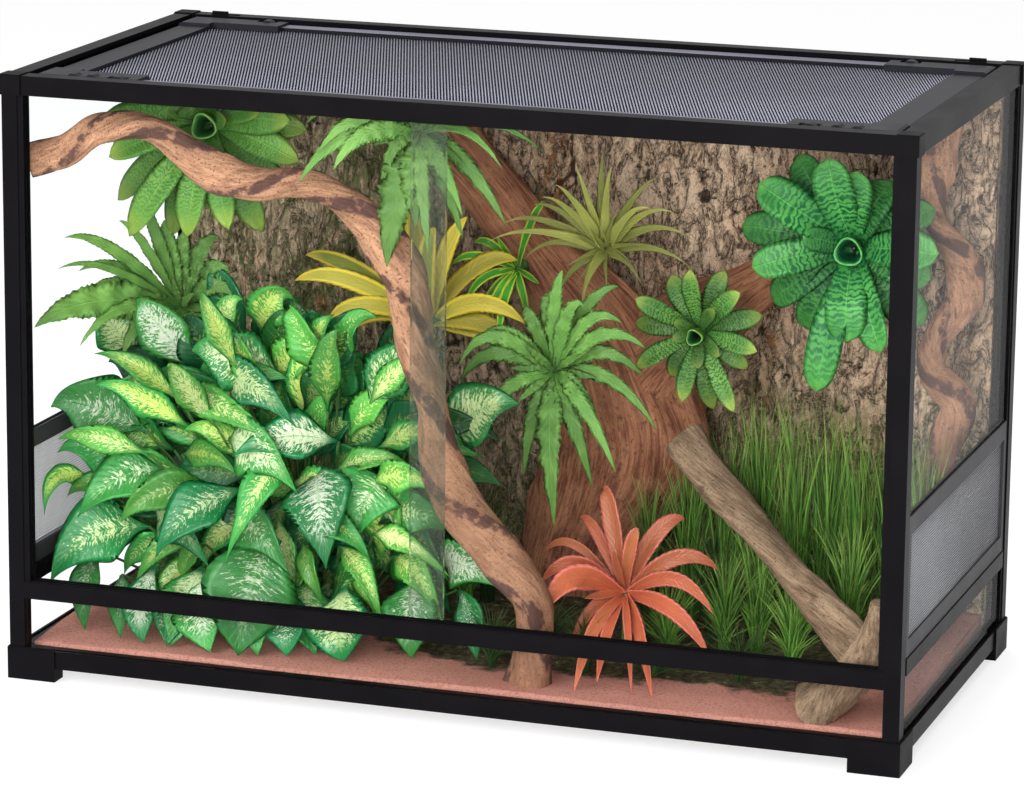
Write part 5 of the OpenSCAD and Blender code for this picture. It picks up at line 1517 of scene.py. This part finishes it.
@dataclass
class MottledShrub:
    """The big shrub: wide leaves with cream feathering, on stems that rise from the sand."""

    stem_foot: tuple[float, float, float] = (-206.0, -50.0, 30.0)
    seed: int = 12
    rows: Sequence[tuple[float, ...]] = (
        (-350, -110, 232, -434, -150, 258, 66), (-356, -100, 174, -432, -140, 210, 44),
        (-343, -120, 137, -429, -168, 84, 64), (-404, -128, 186, -425, -188, 158, 22),
        (-301, -90, 291, -355, -120, 366, 50), (-371, -70, 288, -408, -90, 344, 43),
        (-277, -80, 314, -254, -90, 368, 29), (-243, -70, 329, -204, -80, 370, 39),
        (-151, -100, 290, -196, -110, 369, 35), (-152, -90, 303, -110, -100, 363, 31),
        (-280, -100, 290, -176, -150, 261, 45), (-330, -100, 278, -196, -150, 244, 31),
        (-147, -110, 239, -238, -160, 228, 45), (-316, -100, 209, -236, -150, 205, 25),
        (-271, -120, 187, -352, -170, 153, 37), (-241, -120, 186, -313, -175, 122, 48),
        (-196, -130, 227, -237, -180, 127, 33), (-167, -120, 212, -138, -165, 126, 68),
        (-204, -130, 142, -220, -178, 42, 81), (-282, -130, 103, -294, -170, 55, 43),
        (-331, -130, 102, -323, -170, 42, 33), (-369, -130, 88, -350, -165, 42, 25),
        (-313, -135, 90, -298, -172, 42, 33), (-273, -140, 98, -250, -176, 42, 50),
        (-200, -130, 92, -175, -165, 42, 43), (-134, -125, 98, -116, -160, 42, 60),
        (-110, -90, 118, -81, -110, 217, 39), (-59, -85, 213, -90, -90, 281, 39),
        (-51, -84, 244, 35, -96, 289, 58), (-52, -80, 122, 23, -100, 104, 45),
        (-30, -90, 96, 2, -110, 44, 29), (-65, -100, 104, -59, -128, 44, 47),
        (-98, -110, 205, -121, -140, 145, 58), (-230, -80, 287, -163, -90, 330, 39),
        (-290, -90, 244, -197, -110, 297, 43), (-187, -110, 177, -222, -140, 211, 35),
        (-398, -90, 214, -334, -110, 285, 33), (-240, -135, 96, -202, -172, 42, 39),
        (-172, -120, 99, -150, -150, 42, 45), (-397, -120, 108, -395, -150, 54, 29),
        (-210, -90, 292, -292, -130, 322, 56), (-120, -96, 268, -60, -104, 330, 46),
        (-262, -112, 232, -170, -158, 196, 52), (-330, -112, 196, -404, -156, 150, 52),
        (-118, -104, 172, -36, -108, 158, 50), (-250, -118, 152, -176, -164, 116, 46),
        (-338, -118, 156, -262, -158, 112, 44), (-100, -96, 238, -14, -106, 238, 46))

    def build(self, stalk: bpy.types.Material) -> None:
        """Front leaves by the list, leaves behind them on a golden-angle spiral in a darker copy of the leaf finish as
        painted shade, and the stems.

        Args:
            stalk: Finish of the stems.
        """
        dice = np.random.default_rng(self.seed)
        row = np.array(self.rows, float)
        low, slim = row[:, 5] < 60, row[:, 6] < 40
        wide = [self.leaves(OVAL_CUT, row[~low & ~slim], 1.16, dice).skin(3),
                self.leaves(HANG_CUT, row[low], 1.2, dice).skin(4)]
        make_piece("shrub_leaves", wide, "cabinet", SHRUB_LEAF.made(), ["shrub"])
        middle = self.filler(44, -104, (70, 104), (22, 34), dice)
        narrow = [self.leaves(SLIM_CUT, row[~low & slim], 1.16, dice).skin(6),
                  self.leaves(SLIM_CUT, middle, 1.1, dice).skin(7)]
        make_piece("shrub_slim_leaves", narrow, "cabinet", SHRUB_SLIM.made(), ["shrub"])
        rear = self.filler(84, -62, (62, 100), (40, 58), dice)
        base = np.concatenate([middle, rear])[:, :3]
        make_piece("shrub_inner_leaves", [self.leaves(OVAL_CUT, rear, 1.0, dice).skin(5)], "cabinet",
                   SHRUB_PAINTED_SHADE.made(), ["shrub"])
        ends = np.concatenate([row[:, :3], base])
        start = np.stack([self.stem_foot[0] + (ends[:, 0] + 206) * 0.22, np.full(len(ends), -52.0)
                          + dice.uniform(-8, 8, len(ends)), np.clip(ends[:, 2] - 150, 30, 90)], -1)
        make_piece("shrub_stems", [stalks(start, ends, 2.2, (0, 12, -6))], "cabinet", stalk, ["shrub"])

    def leaves(self, cut: LeafCut, rows: Array, share: float, dice: np.random.Generator) -> LeafSet:
        """Leaves whose middle stands up and forward and whose tip hangs over.

        Args:
            cut: Their cut.
            rows: Base, tip and width of each.
            share: What the width is multiplied by.
            dice: Source of small differences.

        Returns:
            The set in metres.
        """
        n = len(rows)
        tip = rows[:, 3:6].copy()
        low = tip[:, 2] < 60
        tip[:, 2] = np.where(low, 37, tip[:, 2])
        tip[:, 1] = np.where(low, tip[:, 1] - 12, tip[:, 1])
        arch = np.stack([dice.uniform(-6, 6, n), dice.uniform(-14, -5, n), dice.uniform(4, 14, n)], -1)
        curl = np.stack([dice.uniform(-6, 6, n), dice.uniform(0, 8, n),
                         np.where(low, 0, dice.uniform(-22, -6, n))], -1)
        return LeafSet(cut, rows[:, :3] * MM, tip * MM, arch * MM, rows[:, 6] * share * MM,
                       dice.uniform(-0.5, 0.5, (n, 2)), dice.uniform(0.0, 1.0, n), curl=curl * MM)

    def filler(self, count: int, depth: float, length: tuple[float, float], width: tuple[float, float],
               dice: np.random.Generator) -> Array:
        """Rows of leaves on a golden-angle spiral over the shrub's ellipse, pointing outwards.

        Args:
            count: How many.
            depth: Middle of their y.
            length: Shortest and longest.
            width: Narrowest and widest.
            dice: Source of small differences.

        Returns:
            Base, tip and width of each.
        """
        k = np.arange(count)
        turn, reach = k * 2.39996 + count, np.sqrt((k + 0.5) / count)
        base = np.stack([-214 + 152 * reach * np.cos(turn), depth + dice.uniform(-30, 26, count),
                         190 + 120 * reach * np.sin(turn)], -1)
        aim = np.stack([np.cos(turn) + dice.uniform(-0.4, 0.4, count), dice.uniform(-0.4, 0.05, count),
                        np.sin(turn) * 0.9 - 0.1], -1)
        tip = base + unit(aim) * dice.uniform(*length, count)[:, None]
        tip[:, 2] = np.maximum(tip[:, 2], 62)
        tip[:, 0] = np.clip(tip[:, 0], -426, 12)
        return np.concatenate([base, tip, dice.uniform(*width, count)[:, None]], axis=1)


@dataclass
class Tufts:
    """Tufts of grass that stand in the sand.

    Attributes:
        name: The piece's name.
        node: CAD node that it stands for.
        slot: Name of its material slot; not used.
        finish: Surface of the blades.
        places: Centre, blade length and spread of each tuft, in millimetres.
        blades: Blades in each tuft.
        width: Width of a blade.
        seed: Chooses the blades.
    """

    name: str
    node: str
    slot: str
    finish: LeafSkin
    places: Sequence[tuple[float, float, float, float]]
    blades: int
    width: float
    seed: int

    def build(self) -> None:
        """Blades from a foot of 14 mm, leaning out by the spread and hanging over at the tip."""
        dice = np.random.default_rng(self.seed)
        spot = np.repeat(np.array(self.places, float), self.blades, axis=0)
        n = len(spot)
        turn, away = dice.uniform(0, 2 * math.pi, n), np.sqrt(dice.uniform(0, 1, n))
        foot = np.minimum(spot[:, 3] * 0.4, spot[:, 2] * 0.06)
        root = np.stack([spot[:, 0] + foot * away * np.cos(turn), spot[:, 1] + foot * 0.8 * away * np.sin(turn),
                         spot[:, 0]], -1)
        root[:, 2] = sand_height(root[:, 0], root[:, 1]) - dice.uniform(1, 6, n)
        length = spot[:, 2] * dice.uniform(0.4, 1.14, n)
        lean = spot[:, 3] * np.clip(dice.normal(0, 0.5, n), -1, 1)
        depth = dice.uniform(-22, 16, n)
        tip = root + np.stack([lean, depth, length], -1)
        arch = np.stack([-lean * 0.28, -depth * 0.2, length * 0.06], -1)
        thin = dice.uniform(0, 1, n)
        tuft = LeafSet(BLADE_CUT, root * MM, tip * MM, arch * MM, self.width * (0.35 + thin) * MM,
                       dice.uniform(-1.1, 1.1, (n, 2)), np.clip(0.1 + 0.75 * thin + dice.uniform(0, 0.15, n), 0, 1))
        make_piece(self.name, [tuft.skin(self.seed)], "cabinet", self.finish.made(), [self.node])


TUFTS = (
    Tufts("tall_grass", "grass_tall", "grass_leaf", GRASS_LEAF,
          ((118, 70, 138, 34), (160, 74, 164, 34), (196, 74, 196, 36), (232, 78, 216, 34), (266, 74, 224, 34),
           (300, 76, 214, 34), (334, 70, 204, 34), (362, 78, 200, 30), (394, 70, 196, 26), (226, -30, 100, 40),
           (300, -50, 90, 40), (180, -70, 84, 36), (-60, 20, 120, 50), (250, 0, 130, 40), (344, -10, 130, 44)),
          150, 2.4, 41),
    Tufts("dark_grass", "grass_dark", "dark_grass", DARK_GRASS,
          ((-384, 20, 150, 46), (-350, 96, 134, 52), (400, 64, 140, 26), (112, -120, 66, 34), (330, 20, 110, 60),
           (200, 20, 120, 60), (140, -20, 76, 60), (60, -60, 60, 60), (-250, 60, 150, 60), (-150, 100, 150, 60),
           (-50, 60, 130, 50), (20, -130, 60, 40), (260, -100, 60, 60), (180, -120, 40, 50)), 110, 1.5, 43),
)


# ---------------------------------------------------------------- studio


@dataclass(frozen=True)
class Studio:
    """Camera at the photograph's angle, a pale floor, a white surround and soft lamps."""

    lens: float = 157.6
    place: tuple[float, float, float] = (1.363, -4.070, 1.296)
    azimuth: float = 18.59
    elevation: float = 13.41
    roll: float = 0.61

    def camera(self) -> None:
        """Looks along (-sin az cos el, cos az cos el, -sin el), rolled about that line."""
        data = bpy.data.cameras.new("camera")
        data.lens, data.sensor_width = self.lens, 36.0
        data.clip_start, data.clip_end = 0.1, 60.0
        eye = bpy.data.objects.new("camera", data)
        bpy.context.scene.collection.objects.link(eye)
        az, el, roll = (math.radians(v) for v in (self.azimuth, self.elevation, self.roll))
        ahead = Vector((-math.sin(az) * math.cos(el), math.cos(az) * math.cos(el), -math.sin(el)))
        right = Vector((math.cos(az), math.sin(az), 0))
        up = right.cross(ahead)
        side = right * math.cos(roll) + up * math.sin(roll)
        over = up * math.cos(roll) - right * math.sin(roll)
        eye.matrix_world = Matrix((
            (side.x, over.x, -ahead.x, self.place[0]), (side.y, over.y, -ahead.y, self.place[1]),
            (side.z, over.z, -ahead.z, self.place[2]), (0, 0, 0, 1)))
        bpy.context.scene.camera = eye

    def floor(self) -> None:
        """A broad pale floor that is white to the eye and keeps the shadow."""
        mesh = bpy.data.meshes.new("floor")
        r = 14.0
        mesh.from_pydata([(-r, -r, -0.0006), (r, -r, -0.0006), (r, r, -0.0006), (-r, r, -0.0006)], [], [(0, 1, 2, 3)])
        obj = bpy.data.objects.new("floor", mesh)
        bpy.context.scene.collection.objects.link(obj)
        n = NodeSheet("floor_paper")
        cloud = n.noise(n.place(Space.OBJECT), 0.7, 2)
        n.set(Base_Color=n.blend(n.reach(cloud, 0.2, 0.8), (0.93, 0.93, 0.93), (0.95, 0.95, 0.95)), Roughness=0.9,
              Specular_IOR_Level=0.1)
        glow = n.add("ShaderNodeEmission")
        glow.inputs["Color"].default_value = (1, 1, 1, 1)
        glow.inputs["Strength"].default_value = 1.4
        path = n.add("ShaderNodeLightPath")
        seen = n.sums("MAXIMUM", path.outputs["Is Camera Ray"],
                      n.sums("MAXIMUM", path.outputs["Is Glossy Ray"], path.outputs["Is Transmission Ray"]))
        mixer = n.add("ShaderNodeMixShader")
        n.link(n.sums("MULTIPLY", seen, 0.5), mixer.inputs[0])
        n.link(n.shader.outputs[0], mixer.inputs[1])
        n.link(glow.outputs[0], mixer.inputs[2])
        n.link(mixer.outputs[0], n.out.inputs["Surface"])
        mesh.materials.append(n.material)

    def world(self) -> None:
        """An even surround that is white where it is seen."""
        world = bpy.data.worlds.new("surround")
        bpy.context.scene.world = world
        world.use_nodes = True
        tree = world.node_tree
        back = tree.nodes["Background"]
        back.inputs["Color"].default_value = (1, 1, 1, 1)
        path = tree.nodes.new("ShaderNodeLightPath")
        either = tree.nodes.new("ShaderNodeMath")
        either.operation = "MAXIMUM"
        tree.links.new(path.outputs["Is Camera Ray"], either.inputs[0])
        tree.links.new(path.outputs["Is Transmission Ray"], either.inputs[1])
        level = tree.nodes.new("ShaderNodeMapRange")
        level.inputs["To Max"].default_value = 1.0
        tree.links.new(either.outputs[0], level.inputs["Value"])
        where = tree.nodes.new("ShaderNodeTexCoord")
        parts = tree.nodes.new("ShaderNodeSeparateXYZ")
        tree.links.new(where.outputs["Generated"], parts.inputs[0])
        side = tree.nodes.new("ShaderNodeMapRange")
        for name, value in (("From Min", 0.2), ("From Max", 0.7), ("To Min", 0.66), ("To Max", 0.16)):
            side.inputs[name].default_value = value
        tree.links.new(parts.outputs["X"], side.inputs["Value"])
        tree.links.new(side.outputs[0], level.inputs["To Min"])
        tree.links.new(level.outputs[0], back.inputs["Strength"])

    def lamp(self, name: str, place: Sequence[float], aim: Sequence[float], size: float, power: float) -> None:
        """One soft square lamp.

        Args:
            name: Its name.
            place: Where it hangs.
            aim: What it faces.
            size: Edge of its square.
            power: Watts.
        """
        data = bpy.data.lights.new(name, "AREA")
        data.energy, data.size = power, size
        obj = bpy.data.objects.new(name, data)
        bpy.context.scene.collection.objects.link(obj)
        obj.location = place
        obj.rotation_euler = (Vector(aim) - Vector(place)).to_track_quat("-Z", "Y").to_euler()

    def build(self) -> None:
        """Everything round the object."""
        self.camera()
        self.floor()
        self.world()
        self.lamp("key", (-1.5, -2.8, 1.8), (0, 0, 0.25), 1.6, 64)
        self.lamp("front", (0.6, -3.0, 0.8), (0, 0, 0.3), 1.8, 78)
        self.lamp("top", (0.2, 0.4, 2.6), (0, 0, 0.3), 2.0, 26)
        bpy.context.scene.view_settings.view_transform = "Standard"


def main() -> None:
    """Loads the frame, dresses it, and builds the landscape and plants."""
    logging.basicConfig(level=logging.INFO, format="%(name)s %(message)s")
    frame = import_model()
    nodes = frame["nodes"]
    Studio().build()
    cabinet = Cabinet()
    cabinet.dress(nodes)
    cabinet.build_vents()
    lid = ScreenLid()
    lid.dress(nodes)
    lid.build_screen()
    Ground().build()
    BarkWall().build()
    Driftwood().build()
    stalk = STALK_GREEN.made()
    for plant in PLANTS:
        plant.build(stalk)
    MottledShrub().build(stalk)
    for tuft in TUFTS:
        tuft.build()


if __name__ == "__main__":
    main()
